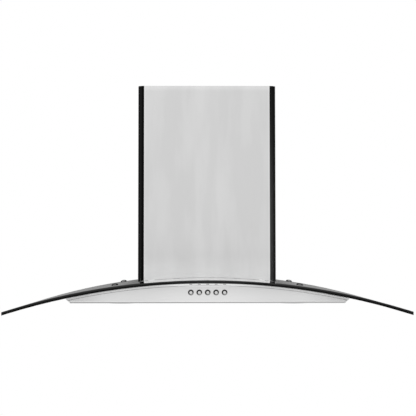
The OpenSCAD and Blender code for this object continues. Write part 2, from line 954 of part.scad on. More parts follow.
module wall_frame() {
    hole_margin = 16;
    glass_gap = 4;
    shelf_d = 14;
    frame_top = wall_span_z / 2 + hole_margin;
    frame_foot = crown_z + glass_gap;
    color(galvanised)
        difference() {
            union() {
                block([-frame_w / 2, -frame_t, frame_foot], [frame_w / 2, 0, frame_top]);
                block([-frame_w / 2, -shelf_d, frame_top - frame_t], [frame_w / 2, 0, frame_top]);
            }
            for (x = [-1, 1], z = [-1, 1])
                translate([x * wall_span_x / 2, 0, z * wall_span_z / 2])
                    rotate([90, 0, 0])
                        cylinder(d = wall_hole_d, h = 4 * frame_t, center = true);
        }
}

blower_screw_d = 4;
flange_w = 16;
cover_screw_places = [for (x = [-1, 1], z = [crown_z + 1.5 * flange_w, box_z - 1.5 * flange_w])
    [x * (box_w - flange_w) / 2, z]];
gland_inset = 26;
gland_x = box_w / 2 - gland_inset;
gland_y = -60;
gland_d = 16;

module blower_box() {
    hole_r = collar_d / 2 - collar_t;
    color(galvanised)
        difference() {
            union() {
                difference() {
                    block([-box_w / 2, box_y0, box_foot_z], [box_w / 2, box_y1, box_z]);
                    block([-box_w / 2 + blower_t, box_y0 + blower_t, box_foot_z - cut],
                        [box_w / 2 - blower_t, box_y1 - blower_t, box_z - blower_t]);
                    block([-box_w / 2 + flange_w, box_y0 - cut, crown_z + flange_w],
                        [box_w / 2 - flange_w, box_y0 + 2 * blower_t, box_z - flange_w]);
                }
                intersection() {
                    along_y(box_y0 - foot_toe, box_y1)
                        difference() {
                            bend_disc(shell_r + blower_t);
                            bend_disc(shell_r);
                        }
                    difference() {
                        block([-box_w / 2 - foot_flange, -2 * glass_d, box_foot_z],
                            [box_w / 2 + foot_flange, 0, crown_z]);
                        block([-box_w / 2 + blower_t, box_y0 + blower_t, box_foot_z - cut],
                            [box_w / 2 - blower_t, box_y1 - blower_t, crown_z + cut]);
                    }
                }
            }
            along_y(-2 * glass_d, glass_d)
                bend_disc(shell_r);
            translate([0, collar_y, box_z - 3 * blower_t])
                cylinder(r = hole_r, h = 6 * blower_t);
            translate([gland_x, gland_y, box_z - 3 * blower_t])
                cylinder(d = gland_d + 2 * seat, h = 6 * blower_t);
            for (p = cover_screw_places)
                translate([p[0], box_y0, p[1]])
                    rotate([90, 0, 0])
                        cylinder(d = blower_screw_d + 2 * run_gap, h = 6 * blower_t, center = true);
        }
}

// Removable front cover, with a pressed field in its middle
module blower_cover() {
    margin = 2;
    field = 26;
    field_h = 2.5;
    foot_gap = 6;
    z0 = crown_z + foot_gap;
    z1 = box_z - margin;
    color(galvanised)
        difference() {
            union() {
                block([-box_w / 2 + margin, box_y0 - blower_t, z0], [box_w / 2 - margin, box_y0, z1]);
                block([-box_w / 2 + field, box_y0 - blower_t - field_h, z0 + field],
                    [box_w / 2 - field, box_y0, z1 - field]);
            }
            block([-box_w / 2 + field + blower_t, box_y0 - field_h, z0 + field + blower_t],
                [box_w / 2 - field - blower_t, box_y0 + cut, z1 - field - blower_t]);
            for (p = cover_screw_places)
                translate([p[0], box_y0, p[1]])
                    rotate([90, 0, 0])
                        cylinder(d = blower_screw_d + 2 * run_gap, h = 6 * blower_t, center = true);
        }
}

module blower_screws() {
    head_h = 2;
    shank_l = 9;
    color("gray")
        for (p = cover_screw_places)
            translate([p[0], box_y0 - blower_t, p[1]])
                rotate([90, 0, 0]) {
                    cylinder(d = 2 * blower_screw_d, h = head_h);
                    translate([0, 0, -shank_l])
                        cylinder(d = blower_screw_d, h = shank_l + cut / 2);
                }
}

// The scroll in Y and Z round the shaft: three arcs whose radius grows by one step each,
// drawn about the corners of a square, then the straight outlet
outlet_x0 = -volute_half - last_r;
outlet_x1 = outlet_x0 + outlet_w;
outlet_top = box_z - blower_t - wheel_z - seat;
// Each arc: its centre, its radius, and the corners of the square that keeps it
volute_arcs = [
    [[volute_half, -volute_half], first_r, [outlet_x1, -volute_half], [last_r, last_r]],
    [[-volute_half, -volute_half], first_r + volute_step, [-volute_half, -2 * last_r],
        [last_r, -volute_half]],
    [[-volute_half, volute_half], last_r, [-2 * last_r, -2 * last_r],
        [-volute_half, volute_half]]];

module kept(lo, hi) {
    intersection() {
        children();
        translate(lo)
            square(hi - lo);
    }
}

// Outline of the scroll's side
module volute_face() {
    for (a = volute_arcs)
        kept(a[2], a[3])
            translate(a[0])
                circle(r = a[1] + blower_t, $fn = 180);
    translate([outlet_x0 - blower_t, volute_half])
        square([outlet_w + 2 * blower_t, outlet_top - volute_half]);
}

// The wall of the scroll, as a strip along that outline
module volute_wall() {
    for (a = volute_arcs)
        kept(a[2], a[3])
            translate(a[0])
                difference() {
                    circle(r = a[1] + blower_t, $fn = 180);
                    circle(r = a[1], $fn = 180);
                }
    translate([outlet_x0 - blower_t, volute_half])
        square([blower_t, outlet_top - volute_half]);
    tongue_z = -volute_half + sqrt(pow(first_r, 2) - pow(outlet_x1 - volute_half, 2));
    translate([outlet_x1, tongue_z])
        square([blower_t, outlet_top - tongue_z]);
}

wheel_gap = 4;
scroll_half_w = impeller_w / 2 + wheel_gap;

module at_wheel() {
    translate([0, wheel_y, wheel_z])
        children();
}

module scroll_body() {
    color([0.2, 0.2, 0.21])
        at_wheel()
            along_x(-scroll_half_w, scroll_half_w)
                volute_wall();
}

// Side plate of the scroll with the bell mouth of its inlet
module scroll_inlet(side) {
    inlet_step = 1;
    bell_r = 6;
    inlet_r = impeller_r - blade_depth - inlet_step;
    color([0.22, 0.22, 0.23])
        at_wheel()
            mirror([side > 0 ? 0 : 1, 0, 0]) {
                difference() {
                    along_x(scroll_half_w, scroll_half_w + blower_t)
                        volute_face();
                    along_x(scroll_half_w - cut, scroll_half_w + blower_t + cut)
                        circle(r = inlet_r + bell_r, $fn = 180);
                }
                translate([scroll_half_w, 0, 0])
                    rotate([0, 90, 0])
                        rotate_extrude($fn = 180)
                            translate([inlet_r + bell_r, bell_r])
                                bell_section(bell_r);
            }
}

// Rolled edge: a quarter ring from the plate's plane out to the lip
module bell_section(bell_r) {
    intersection() {
        difference() {
            circle(r = bell_r);
            circle(r = bell_r - blower_t);
        }
        translate([-bell_r, -bell_r])
            square([bell_r, bell_r]);
    }
}

// One forward-curved blade: the part of a thin arc between the ring's two radii
module blade() {
    arc_r = 11;
    arc_inset = 5;
    inside = 0.4;
    centre_r = impeller_r - arc_inset;
    intersection() {
        difference() {
            circle(r = impeller_r - inside, $fn = 180);
            circle(r = impeller_r - blade_depth + inside, $fn = 180);
        }
        translate([centre_r, 0])
            difference() {
                circle(r = arc_r + blade_t / 2);
                circle(r = arc_r - blade_t / 2);
            }
        square(2 * impeller_r);
    }
}

hub_r = 12;
hub_l = 10;
web_t = 1.2;
shaft_half = shaft_d / 2;
press_gap = 0.02;

module impeller() {
    rim_t = 2;
    color([0.5, 0.52, 0.54])
        at_wheel() {
            along_x(-impeller_w / 2 + cut, impeller_w / 2 - cut)
                for (i = [1:blade_count])
                    rotate([0, 0, 360 * i / blade_count])
                        blade();
            difference() {
                union() {
                    along_x(-web_t / 2, web_t / 2)
                        circle(r = impeller_r, $fn = 180);
                    along_x(-hub_l, web_t / 2)
                        circle(r = hub_r);
                    for (x = [-impeller_w / 2, impeller_w / 2 - rim_t])
                        along_x(x, x + rim_t)
                            difference() {
                                circle(r = impeller_r, $fn = 180);
                                circle(r = impeller_r - blade_depth, $fn = 180);
                            }
                }
                along_x(-2 * hub_l, hub_l)
                    circle(r = shaft_half + press_gap);
            }
        }
}

nut_h = 6.8;
nut_gap = 0.2;
nut_x = -hub_l - nut_gap - nut_h;

module impeller_nut() {
    nut_d = 13;
    color("gray")
        at_wheel()
            translate([nut_x, 0, 0])
                rotate([0, 90, 0])
                    difference() {
                        cylinder(d = nut_d, h = nut_h, $fn = 6);
                        translate([0, 0, -cut])
                            cylinder(r = shaft_half + press_gap, h = nut_h + 2 * cut);
                    }
}

motor_x0 = 10;
motor_x1 = motor_x0 + motor_l;
bearing_l = 8;
bearing_wall = 4;
bearing_r = shaft_half + bearing_wall;
boss_r = 16;
boss_l = 3;
shaft_end = 3;

module motor_housing() {
    band = 3;
    band_share = 0.25;
    color([0.35, 0.36, 0.38])
        at_wheel()
            difference() {
                union() {
                    along_x(motor_x0 + boss_l, motor_x1 - boss_l)
                        circle(r = motor_r - band);
                    along_x(motor_x0 + band_share * motor_l, motor_x1 - band_share * motor_l)
                        circle(r = motor_r);
                    along_x(motor_x0, motor_x1)
                        circle(r = boss_r);
                }
                along_x(motor_x0 - cut, motor_x1 + cut)
                    circle(r = shaft_half + 2 * free);
                for (x = [motor_x0 - cut, motor_x1 - bearing_l])
                    along_x(x, x + bearing_l + cut)
                        circle(r = bearing_r + press_gap);
            }
}

module motor_bearings() {
    color("goldenrod")
        at_wheel()
            for (x = [motor_x0, motor_x1 - bearing_l])
                translate([x, 0, 0])
                    rotate([0, 90, 0])
                        ring(bearing_r, shaft_half + run_gap, bearing_l);
}

module motor_shaft() {
    color("lightgray")
        at_wheel()
            along_x(nut_x - cut, motor_x1 + shaft_end)
                circle(r = shaft_half);
}

// Three-armed bracket: a ring on the motor's end, arms and feet on the scroll's side
module motor_bracket() {
    arm_w = 12;
    arm_t = 2;
    foot_inset = 2;
    rim_inset = 6;
    foot_r = impeller_r - foot_inset;
    plate_x = motor_x1 - boss_l;
    side_x = scroll_half_w + blower_t;
    color(galvanised)
        at_wheel()
            difference() {
                union() {
                    along_x(plate_x, plate_x + arm_t) {
                        circle(r = motor_r - rim_inset);
                        for (i = [0:2])
                            rotate([0, 0, 120 * i + 30])
                                translate([0, -arm_w / 2])
                                    square([foot_r + arm_w / 2, arm_w]);
                    }
                    for (i = [0:2])
                        rotate([120 * i + 30, 0, 0])
                            translate([side_x, foot_r, 0])
                                rotate([0, 90, 0])
                                    cylinder(r = arm_w / 2, h = plate_x - side_x + cut);
                }
                along_x(plate_x - cut, plate_x + 2 * arm_t)
                    circle(r = boss_r + seat);
            }
}

// Exhaust collar: flange on the box, tube for the duct and a ledge under the flaps
collar_r = collar_d / 2;
collar_in_r = collar_r - collar_t;
rod_rise = 21;
rod_z = box_z + rod_rise;
rod_seat = 1.2;
knuckle_wall = 2;
knuckle_r = rod_d / 2 + knuckle_wall;
ledge_t = 2;

module exhaust_collar() {
    flange_w = 12;
    flange_t = 2;
    ledge_w = 4;
    rod_margin = 14;
    flange_r = collar_r + flange_w;
    ledge_z = rod_z - flap_t / 2 - seat - ledge_t;
    color(black)
        translate([0, collar_y, 0])
            difference() {
                union() {
                    translate([0, 0, box_z])
                        ring(flange_r, collar_in_r, flange_t);
                    translate([0, 0, box_z])
                        ring(collar_r, collar_in_r, collar_h);
                    difference() {
                        translate([0, 0, ledge_z])
                            ring(collar_in_r + cut, collar_in_r - ledge_w, ledge_t);
                        block([-collar_r, -rod_margin / 2, ledge_z - cut],
                            [collar_r, rod_margin / 2, ledge_z + 2 * ledge_t]);
                    }
                }
                translate([0, 0, rod_z])
                    rotate([0, 90, 0])
                        cylinder(r = rod_d / 2 + run_gap, h = 2 * (collar_in_r + rod_seat), center = true);
            }
}

// Rod whose ends sit in blind holes in the collar's wall
module damper_rod() {
    color("silver")
        translate([0, collar_y, rod_z])
            rotate([0, 90, 0])
                cylinder(d = rod_d, h = 2 * (collar_in_r + rod_seat - film), center = true);
}

// Half-round flap with two knuckles on the rod. The flaps' knuckles take turns along it
module damper_flap(side) {
    flap_gap = 1.5;
    knuckle_gap = 0.6;
    knuckle_l = 15;
    knuckle_places = [-56, 25];
    flap_r = collar_in_r - flap_gap;
    inner = knuckle_r + knuckle_gap;
    color([0.75, 0.76, 0.78])
        translate([0, collar_y, rod_z])
            difference() {
                union() {
                    translate([0, 0, -flap_t / 2])
                        intersection() {
                            cylinder(r = flap_r, h = flap_t);
                            block([-flap_r, side > 0 ? inner : -flap_r, -cut],
                                [flap_r, side > 0 ? flap_r : -inner, flap_t + cut]);
                        }
                    for (x = knuckle_places)
                        translate([side * x + (side > 0 ? 0 : -knuckle_l), 0, 0]) {
                            rotate([0, 90, 0])
                                cylinder(r = knuckle_r, h = knuckle_l);
                            block([0, side > 0 ? 0 : -inner - 1, -flap_t / 2],
                                [knuckle_l, side > 0 ? inner + 1 : 0, flap_t / 2]);
                        }
                }
                rotate([0, 90, 0])
                    cylinder(r = rod_d / 2 + run_gap, h = 2 * collar_d, center = true);
            }
}

// Case of the electronics, beside the switch block, with an overlapping lid
module control_box() {
    case_size = [86, 50, 22];
    case_gap = 11;
    case_setback = 22;
    lid_t = 1.5;
    lid_lip = 1;
    lid_size = case_size + [2 * lid_lip, 2 * lid_lip, lid_t - case_size[2]];
    color([0.85, 0.85, 0.83])
        translate([switch_half_w + case_gap, front_y + case_setback, pan_z]) {
            cube(case_size - [0, 0, lid_t]);
            translate([-lid_lip, -lid_lip, case_size[2] - lid_t])
                cube(lid_size);
        }
}

// Capacitor of the motor: a can on a stud through the box's rear wall
module capacitor() {
    can_d = 35;
    can_l = 62;
    can_inset = 26;
    can_drop = 45;
    stud_d = 14;
    stud_l = 6;
    color([0.88, 0.88, 0.86])
        translate([box_w / 2 - can_inset, box_y1 - blower_t, box_z - can_drop])
            rotate([90, 0, 0]) {
                cylinder(d = stud_d, h = stud_l);
                translate([0, 0, stud_l - film])
                    cylinder(d = can_d, h = can_l);
            }
}

// Gland for the mains cord in the blower box's top
module cable_gland() {
    bore = 7;
    barrel_l = 12;
    body_d = 22;
    body_l = 6;
    neck_d = 18;
    neck_l = 9;
    nut_d = 23;
    nut_l = 5;
    color(black)
        translate([gland_x, gland_y, box_z])
            difference() {
                union() {
                    translate([0, 0, -barrel_l])
                        cylinder(d = gland_d, h = barrel_l + cut);
                    cylinder(d = body_d, h = body_l, $fn = 6);
                    translate([0, 0, body_l - cut])
                        cylinder(d = neck_d, h = neck_l + cut);
                    translate([0, 0, -blower_t - nut_l - seat])
                        cylinder(d = nut_d, h = nut_l, $fn = 6);
                }
                translate([0, 0, -2 * barrel_l])
                    cylinder(d = bore, h = 5 * barrel_l);
            }
}

canopy_shell();
control_fascia();
bottom_pan();
filter_rail();
glass_canopy();
glass_gasket();
glass_bushes();
glass_screws();
glass_caps();
switch_block();
bezel(1);  // bezel_1
bezel(2);  // bezel_2
bezel(3);  // bezel_3
bezel(4);  // bezel_4
bezel(5);  // bezel_5
button(1);  // button_1
button(2);  // button_2
button(3);  // button_3
button(4);  // button_4
button(5);  // button_5
lamp_housing(-1);  // lamp_housing_left
lamp_housing(1);  // lamp_housing_right
lamp_lens(-1);  // lamp_lens_left
lamp_lens(1);  // lamp_lens_right
mirror([1, 0, 0]) filter_frame();  // filter_frame_left
filter_frame();  // filter_frame_right
mirror([1, 0, 0]) filter_baffles();  // filter_baffles_left
filter_baffles();  // filter_baffles_right
mirror([1, 0, 0]) filter_latch();  // filter_latch_left
filter_latch();  // filter_latch_right
wall_frame();
blower_box();
blower_cover();
blower_screws();
scroll_body();
scroll_inlet(-1);  // scroll_inlet_left
scroll_inlet(1);  // scroll_inlet_right
impeller();
impeller_nut();
motor_housing();
motor_shaft();
motor_bearings();
motor_bracket();
exhaust_collar();
damper_rod();
damper_flap(-1);  // damper_flap_front
damper_flap(1);  // damper_flap_rear
chimney_lower();
chimney_trim(-1);  // chimney_trim_left
chimney_trim(1);  // chimney_trim_right
chimney_upper();
chimney_upper_bracket();
chimney_foot_brackets();
cover_screws();
control_box();
capacitor();
cable_gland();
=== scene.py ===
# %% [markdown]
# # A wall mount range hood with a curved glass canopy
#
# The lesson dresses a finished CAD model of a range hood. The CAD model gives every piece
# its size and its place. What is left is the work that Blender does best: a camera, soft
# studio light, finishes such as brushed steel, clear glass and galvanised sheet, and the
# small repeated pieces that follow a rule.

# %% Load the hood
import math

import bmesh
import bpy
from mathutils import Matrix, Vector


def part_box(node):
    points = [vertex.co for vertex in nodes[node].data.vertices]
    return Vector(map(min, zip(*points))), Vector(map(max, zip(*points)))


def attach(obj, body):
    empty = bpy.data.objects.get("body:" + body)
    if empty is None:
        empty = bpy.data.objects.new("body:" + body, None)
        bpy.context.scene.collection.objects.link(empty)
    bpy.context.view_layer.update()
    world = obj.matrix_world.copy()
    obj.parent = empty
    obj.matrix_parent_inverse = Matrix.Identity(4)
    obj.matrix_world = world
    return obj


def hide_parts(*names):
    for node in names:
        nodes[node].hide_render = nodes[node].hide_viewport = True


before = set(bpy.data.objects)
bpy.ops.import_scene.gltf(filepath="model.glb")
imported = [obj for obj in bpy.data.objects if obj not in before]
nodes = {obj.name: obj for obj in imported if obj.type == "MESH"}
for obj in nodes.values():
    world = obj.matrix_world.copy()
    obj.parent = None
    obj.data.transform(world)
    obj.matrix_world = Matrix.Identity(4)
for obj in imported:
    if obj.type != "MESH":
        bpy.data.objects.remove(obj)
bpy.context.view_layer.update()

# %% [markdown]
# ## The camera
#
# The photograph was taken almost level with the glass, so its top face is seen edge-on.
# A long lens from nearly three metres keeps the chimney's sides upright. The place and the
# turn of the camera were found by matching the corners of the chimney and of the body.

# %% Camera
camera_place = Vector((-0.0209, -2.71075, -0.08934))
yaw, pitch, roll = 0.00965, 0.04357, -0.00074       # in radians
lens_mm, sight_m = 87.90, 50


def linked(name, data):
    """A new object of the scene."""
    made = bpy.data.objects.new(name, data)
    bpy.context.collection.objects.link(made)
    return made


ahead = Vector((math.sin(yaw) * math.cos(pitch), math.cos(yaw) * math.cos(pitch),
                math.sin(pitch)))
level = Vector((math.cos(yaw), -math.sin(yaw), 0))
upward = level.cross(ahead)
right = level * math.cos(roll) + upward * math.sin(roll)
up = upward * math.cos(roll) - level * math.sin(roll)
view_turn = Matrix((right, up, -ahead)).transposed().to_4x4()

camera = linked("camera", bpy.data.cameras.new("camera"))
camera.data.lens = lens_mm
camera.data.clip_end = sight_m
camera.matrix_world = Matrix.Translation(camera_place) @ view_turn
bpy.context.scene.camera = camera
print("camera at", tuple(round(v, 3) for v in camera_place))

# %% [markdown]
# ## One value, written like a number
#
# A finish is a tree of shader nodes, and most of its nodes are sums. Made by hand, each sum
# takes four lines. A small class round a socket lets the sum be written as in school: the
# node is added behind the plus sign. What has no sign, such as a sine, goes by its name.

# %% Sums of nodes
def connect(tree, slot, value):
    """Puts a link, a number or a colour on one input of a node."""
    if isinstance(value, Signal):
        tree.links.new(value.socket, slot)
    elif value is not None:
        slot.default_value = value


def sum_node(tree, operation, *values):
    """A Math node with these values on its inputs."""
    node = tree.nodes.new("ShaderNodeMath")
    node.operation = operation
    for slot, value in zip(node.inputs, values):
        connect(tree, slot, value)
    return Signal(tree, node.outputs[0])


class Signal:
    """A socket of a node tree that can be used in sums."""

    def __init__(self, tree, socket):
        self.tree, self.socket = tree, socket

    def through(self, operation, *others):
        """The value after a Math node, with others on its further inputs."""
        return sum_node(self.tree, operation, self, *others)

    def size(self):
        """The value without its sign."""
        return self.through("ABSOLUTE")

    def __add__(self, other):
        return self.through("ADD", other)

    def __sub__(self, other):
        return self.through("SUBTRACT", other)

    def __rsub__(self, other):
        return sum_node(self.tree, "SUBTRACT", other, self)

    def __mul__(self, other):
        return self.through("MULTIPLY", other)

    def __gt__(self, other):
        return self.through("GREATER_THAN", other)

    def __lt__(self, other):
        return self.through("LESS_THAN", other)

    __radd__ = __add__
    __rmul__ = __mul__


print("sums ready")

# %% [markdown]
# ## Trees, and what finishes have in common
#
# One class holds a tree and adds any other node from its type, its inputs and its settings.
# It serves the shaders here and the Geometry Nodes further down. A second one, built on it,
# knows what finishes need: noise of a chosen fineness, a soft ramp between two tones, and a
# surface at the end. Every pattern reads the place on the piece, in metres, so it stays on
# its piece when that moves.

# %% Trees and finishes
finishes = {}                       # the materials, by the names of the finishes


class Tree:
    """A node tree to which nodes are added in one line each."""

    def __init__(self, tree):
        self.tree = tree

    def add(self, kind, inputs=None, output=0, **settings):
        """One output of a new node, if it has any, from its type, inputs and settings."""
        node = self.tree.nodes.new(kind)
        for name, value in settings.items():
            setattr(node, name, value)
        for name, value in (inputs or {}).items():
            connect(self.tree, node.inputs[name], value)
        if node.outputs:
            return Signal(self.tree, node.outputs[output])

    def vector(self, x, y, z=None):
        """Three values as one vector."""
        return self.add("ShaderNodeCombineXYZ", {0: x, 1: y, 2: z})

    def part(self, vector, axis):
        """One of the three values of a vector."""
        return self.add("ShaderNodeSeparateXYZ", {0: vector}, output=axis)

    def vector_sum(self, operation, *values, output=0):
        """A Vector Math node with these values on its inputs."""
        return self.add("ShaderNodeVectorMath", dict(enumerate(values)), output,
                        operation=operation)

    def length(self, vector):
        return self.vector_sum("LENGTH", vector, output="Value")


class Finish(Tree):
    """The shader of one finish."""

    def __init__(self, name):
        self.material = finishes[name] = bpy.data.materials.new(name)
        self.material.use_nodes = True
        super().__init__(self.material.node_tree)
        self.tree.nodes.clear()
        self.place = self.add("ShaderNodeTexCoord", output="Object")

    def axis(self, name):
        """The place along X, Y or Z."""
        return self.part(self.place, name)

    def noise(self, spots, detail=2):
        """Clouds of tones. Spots is their number in a metre: one, or one for each of X, Y, Z."""
        stretch = spots if isinstance(spots, tuple) else (spots, spots, spots)
        return self.add("ShaderNodeTexNoise", {
            "Vector": self.vector_sum("MULTIPLY", self.place, stretch), "Scale": 1.0,
            "Detail": detail})

    def ramp(self, value, low, high, to_low=0.0, to_high=1.0):
        """The value, moved from one range to another, with a soft start and end."""
        return self.add("ShaderNodeMapRange", {
            "Value": value, "From Min": low, "From Max": high, "To Min": to_low,
            "To Max": to_high}, interpolation_type="SMOOTHSTEP")

    def colour(self, factor, first, second):
        """A colour between two others."""
        return self.add("ShaderNodeMix", {0: factor, 6: first, 7: second}, output=2,
                        data_type="RGBA")

    def even(self, tone):
        """The grey colour of a tone."""
        return self.add("ShaderNodeCombineColor", {0: tone, 1: tone, 2: tone})

    def bump(self, height, depth):
        return self.add("ShaderNodeBump", {"Height": height, "Distance": depth})

    def skin(self, **sockets):
        """A Principled surface. Underscores in the names stand for spaces."""
        inputs = {name.replace("_", " "): value for name, value in sockets.items()}
        return self.add("ShaderNodeBsdfPrincipled", inputs)

    def mixed(self, factor, first, second):
        """The first surface where the factor is 0, and the second where it is 1."""
        return self.add("ShaderNodeMixShader", {0: factor, 1: first, 2: second})

    def done(self, surface):
        """Ends the tree in a surface."""
        self.add("ShaderNodeOutputMaterial", {"Surface": surface})

    def done_in_metal(self, colour, fine, roughness, spread=0.1):
        """Ends the tree in metal with a fine speckle."""
        self.done(self.skin(
            Base_Color=colour, Metallic=1.0, Roughness=about(roughness, fine, spread),
            Normal=self.bump(fine, 0.00001)))


def grey(value, warmth=0.0):
    """A grey, a little warmer with more red than blue."""
    return (value * (1 + warmth), value, value * (1 - warmth), 1.0)


def about(middle, noise, spread):
    """A value that strays from its middle, at most by half the spread."""
    return noise * spread + (middle - spread / 2)


print("trees ready")

# %% [markdown]
# ## Studio
#
# The photograph has a pure white background and hardly any shadow. The world is white for
# rays that come from the camera, for reflections and for what is seen through glass, and
# a little darker as a light. The floor is as far below the hood as in a kitchen, and it is
# seen only from above. Further off it turns into the white of the background.

# %% World and floor
ambient = 0.72                      # strength of the world as a light
floor_z, half_floor = -1.9, 30.0
floor_fade = (1.2, 3.6)             # from the hood, where the floor turns into background


def shown(tree):
    """1 for the rays that show the background: straight, mirrored or through glass."""
    straight, mirrored, through_glass = [
        tree.add("ShaderNodeLightPath", output="Is %s Ray" % kind)
        for kind in ("Camera", "Glossy", "Transmission")]
    return (straight + mirrored + through_glass).through("MINIMUM", 1.0)


scene = bpy.context.scene
scene.view_settings.view_transform = "Standard"
scene.world = bpy.data.worlds.new("studio")
scene.world.use_nodes = True
sky = Tree(scene.world.node_tree)
sky.tree.nodes.clear()
air = sky.add("ShaderNodeBackground", {
    "Color": grey(1), "Strength": shown(sky) * (1 - ambient) + ambient})
sky.add("ShaderNodeOutputWorld", {"Surface": air})

floor_mesh = bpy.data.meshes.new("studio_floor")
floor_mesh.from_pydata([(x * half_floor, y * half_floor, floor_z)
                        for x, y in ((-1, -1), (1, -1), (1, 1), (-1, 1))], [], [(0, 1, 2, 3)])
floor = linked("studio_floor", floor_mesh)
pale = Finish("pale floor")
away = pale.length(pale.vector_sum("MULTIPLY", pale.place, (1, 1, 0)))
mottle = pale.noise(3, detail=4)
boards = pale.skin(Base_Color=pale.colour(mottle, grey(0.85), grey(0.88)), Roughness=0.7)
as_light, as_seen = [pale.add("ShaderNodeEmission", {"Color": grey(tone), "Strength": 1.0})
                     for tone in (ambient, 1)]
cove = pale.mixed(shown(pale), as_light, as_seen)
lying = pale.mixed(pale.ramp(away, *floor_fade), boards, cove)
from_below = pale.add("ShaderNodeNewGeometry", output="Backfacing")
clear = pale.add("ShaderNodeBsdfTransparent")
pale.done(pale.mixed(from_below, lying, clear))
floor_mesh.materials.append(pale.material)
print("world and floor ready")

# %% [markdown]
# ## Soft lamps
#
# Three lamps give the sheet metal a direction: one from the left, a weaker one from the
# right, and one from above and behind that lights the edges. They are large rather than
# strong, so the sheet stays grey where it mirrors them.

# %% Lamps of the studio
aim = Vector((0, -0.25, 0.0))       # the middle of the hood


def lamp(name, place, size, watts):
    """A square lamp that points at the hood."""
    light = bpy.data.lights.new(name, "AREA")
    light.shape, light.size, light.energy = "SQUARE", size, watts
    holder = linked(name, light)
    holder.location = place
    holder.rotation_euler = (aim - Vector(place)).to_track_quat("-Z", "Y").to_euler()


lamp("key", (-2.2, -2.6, 1.8), 4.4, 12)
lamp("fill", (2.6, -2.2, 0.6), 3.4, 6)
lamp("top", (0.4, 0.9, 2.6), 1.6, 9)
print("lamps ready")

# %% [markdown]
# ## Brushed stainless sheet
#
# The chimney covers and the body are stainless sheet, ground in one direction and then
# folded. The grain runs along the length of each sheet: upright on the chimney, level on
# the body. A noise texture whose coordinates are stretched a hundred times in one direction
# gives the hair-thin lines. They change the roughness and a very shallow bump, and hardly
# the colour. A second, wide noise gives the slow clouds that a large sheet always shows.
# Sheet also mirrors what is near it. Two functions paint those reflections into the colour
# as bands, with painted highlights and painted shade: each is a ramp between two heights, or
# between two distances from the middle of the hood.

# %% Brushed finishes
trim_lo, trim_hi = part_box("chimney_trim_right")
upright_grain, level_grain, filter_grain = (1800, 1800, 14), (14, 1800, 1800), (900, 10, 900)

# Chimney: heights of the painted reflections of the glass edge and the ceiling,
# and half of the painted light column
glass_reflection_heights, ceiling_reflection_heights, column = (-0.090, -0.152), (0.296, 0.308), (0.01, 0.08)
# Where the painted glint beside each strip rises
beside_strip = (trim_lo.x - 0.005, trim_lo.x - 0.001)
# Body: heights of the painted floor reflection, the painted light on the lip's seam
# and the painted highlight on the bend above the hem
floor_reflection_heights, lip_seam, hem_bend = (-0.163, -0.194), (-0.1650, -0.1630), (-0.1955, -0.1970)
lip_foot, hem_top, hem_back = -0.1595, -0.1988, -0.4740
# Body: distances from its middle at which the painted shade on its ends grows,
# and at which the painted light on seam and bend fades
ends_near, ends_far, seam_fade, bend_fade = (0.04, 0.16), (0.20, 0.30), (0.04, 0.11), (0.02, 0.20)


def brushed(name, tone, grain, roughness=0.3, clouds=0.02, shade=None):
    """Ground sheet. The grain is the number of lines in a metre along X, Y and Z."""
    steel = Finish(name)
    hair = steel.noise(grain, detail=3)
    cloud = steel.noise((5, 5, 3))
    worn = hair * 0.05 + cloud * clouds * 2 - clouds
    lit = steel.colour(steel.ramp(worn, -0.04, 0.09), grey(tone * 0.955), grey(tone * 1.03))
    if shade:
        lit = shade(steel, lit)
    steel.done(steel.skin(Base_Color=lit, Metallic=1.0, Roughness=about(roughness, hair, 0.12),
                          Normal=steel.bump(hair, 0.00002)))


def paint_chimney_light_and_clouds(steel, lit):
    """The chimney gets painted reflections of the bright glass edge low down and of the ceiling
    at its top, a painted light column in the middle, a painted glint beside each strip, and
    clouds.
    """
    height = steel.axis("Z")
    # Painted reflections: the glass edge low down, the ceiling at the top
    low = steel.ramp(height, *glass_reflection_heights, 0.0, 0.68)
    top = steel.ramp(height, *ceiling_reflection_heights, 0.0, 0.34)
    across = steel.axis("X").size()
    # A painted light column in the middle, and a painted glint on the fold beside each strip
    middle = steel.ramp(across, *column, 0.10, 0.0)
    painted_fold_glint = steel.ramp(across, *beside_strip, 0.0, 0.32) * (across < trim_lo.x + 0.002)
    veil = steel.ramp(steel.noise((26, 26, 5), detail=3), 0.35, 0.65, -0.10, 0.12)
    return steel.colour(low + top + middle + painted_fold_glint + veil + 0.04, lit, grey(0.80))


def paint_body_light_and_shade(steel, lit):
    """A painted reflection of the pale floor low down. The hem turns away and gets painted shade,
    as do the ends; the seam and the bend above the hem get painted light.
    """
    height = steel.axis("Z")
    # Painted reflection of the pale floor low down
    lit = steel.colour(steel.ramp(height, *floor_reflection_heights, 0.0, 0.75), lit, grey(0.78))
    across = steel.axis("X").size()
    # Painted shade towards both ends of the body
    ends = steel.ramp(across, *ends_far, 0.0, 0.4) + steel.ramp(across, *ends_near, 0.0, 0.17)
    lit = steel.colour(ends, lit, grey(0.42))
    # Painted light on the lip's seam, and a painted highlight on the bend above the hem
    painted_seam_light = (steel.ramp(height, *lip_seam) * (height < lip_foot)
            * (steel.ramp(across, *seam_fade, 0.5, 0.0) + 0.3))
    bend = steel.ramp(height, *hem_bend) * steel.ramp(across, *bend_fade, 0.65, 0.42)
    lit = steel.colour(painted_seam_light + bend, lit, grey(0.98))
    # Painted shade on the front hem
    hem = (height < hem_top) * (steel.axis("Y") < hem_back)
    return steel.colour(hem, lit, grey(0.50))


brushed("chimney sheet", 0.626, upright_grain, shade=paint_chimney_light_and_clouds)
brushed("body sheet", 0.68, level_grain, shade=paint_body_light_and_shade)
brushed("filter sheet", 0.55, filter_grain, roughness=0.38, clouds=0.04)
print("finishes so far:", list(finishes))

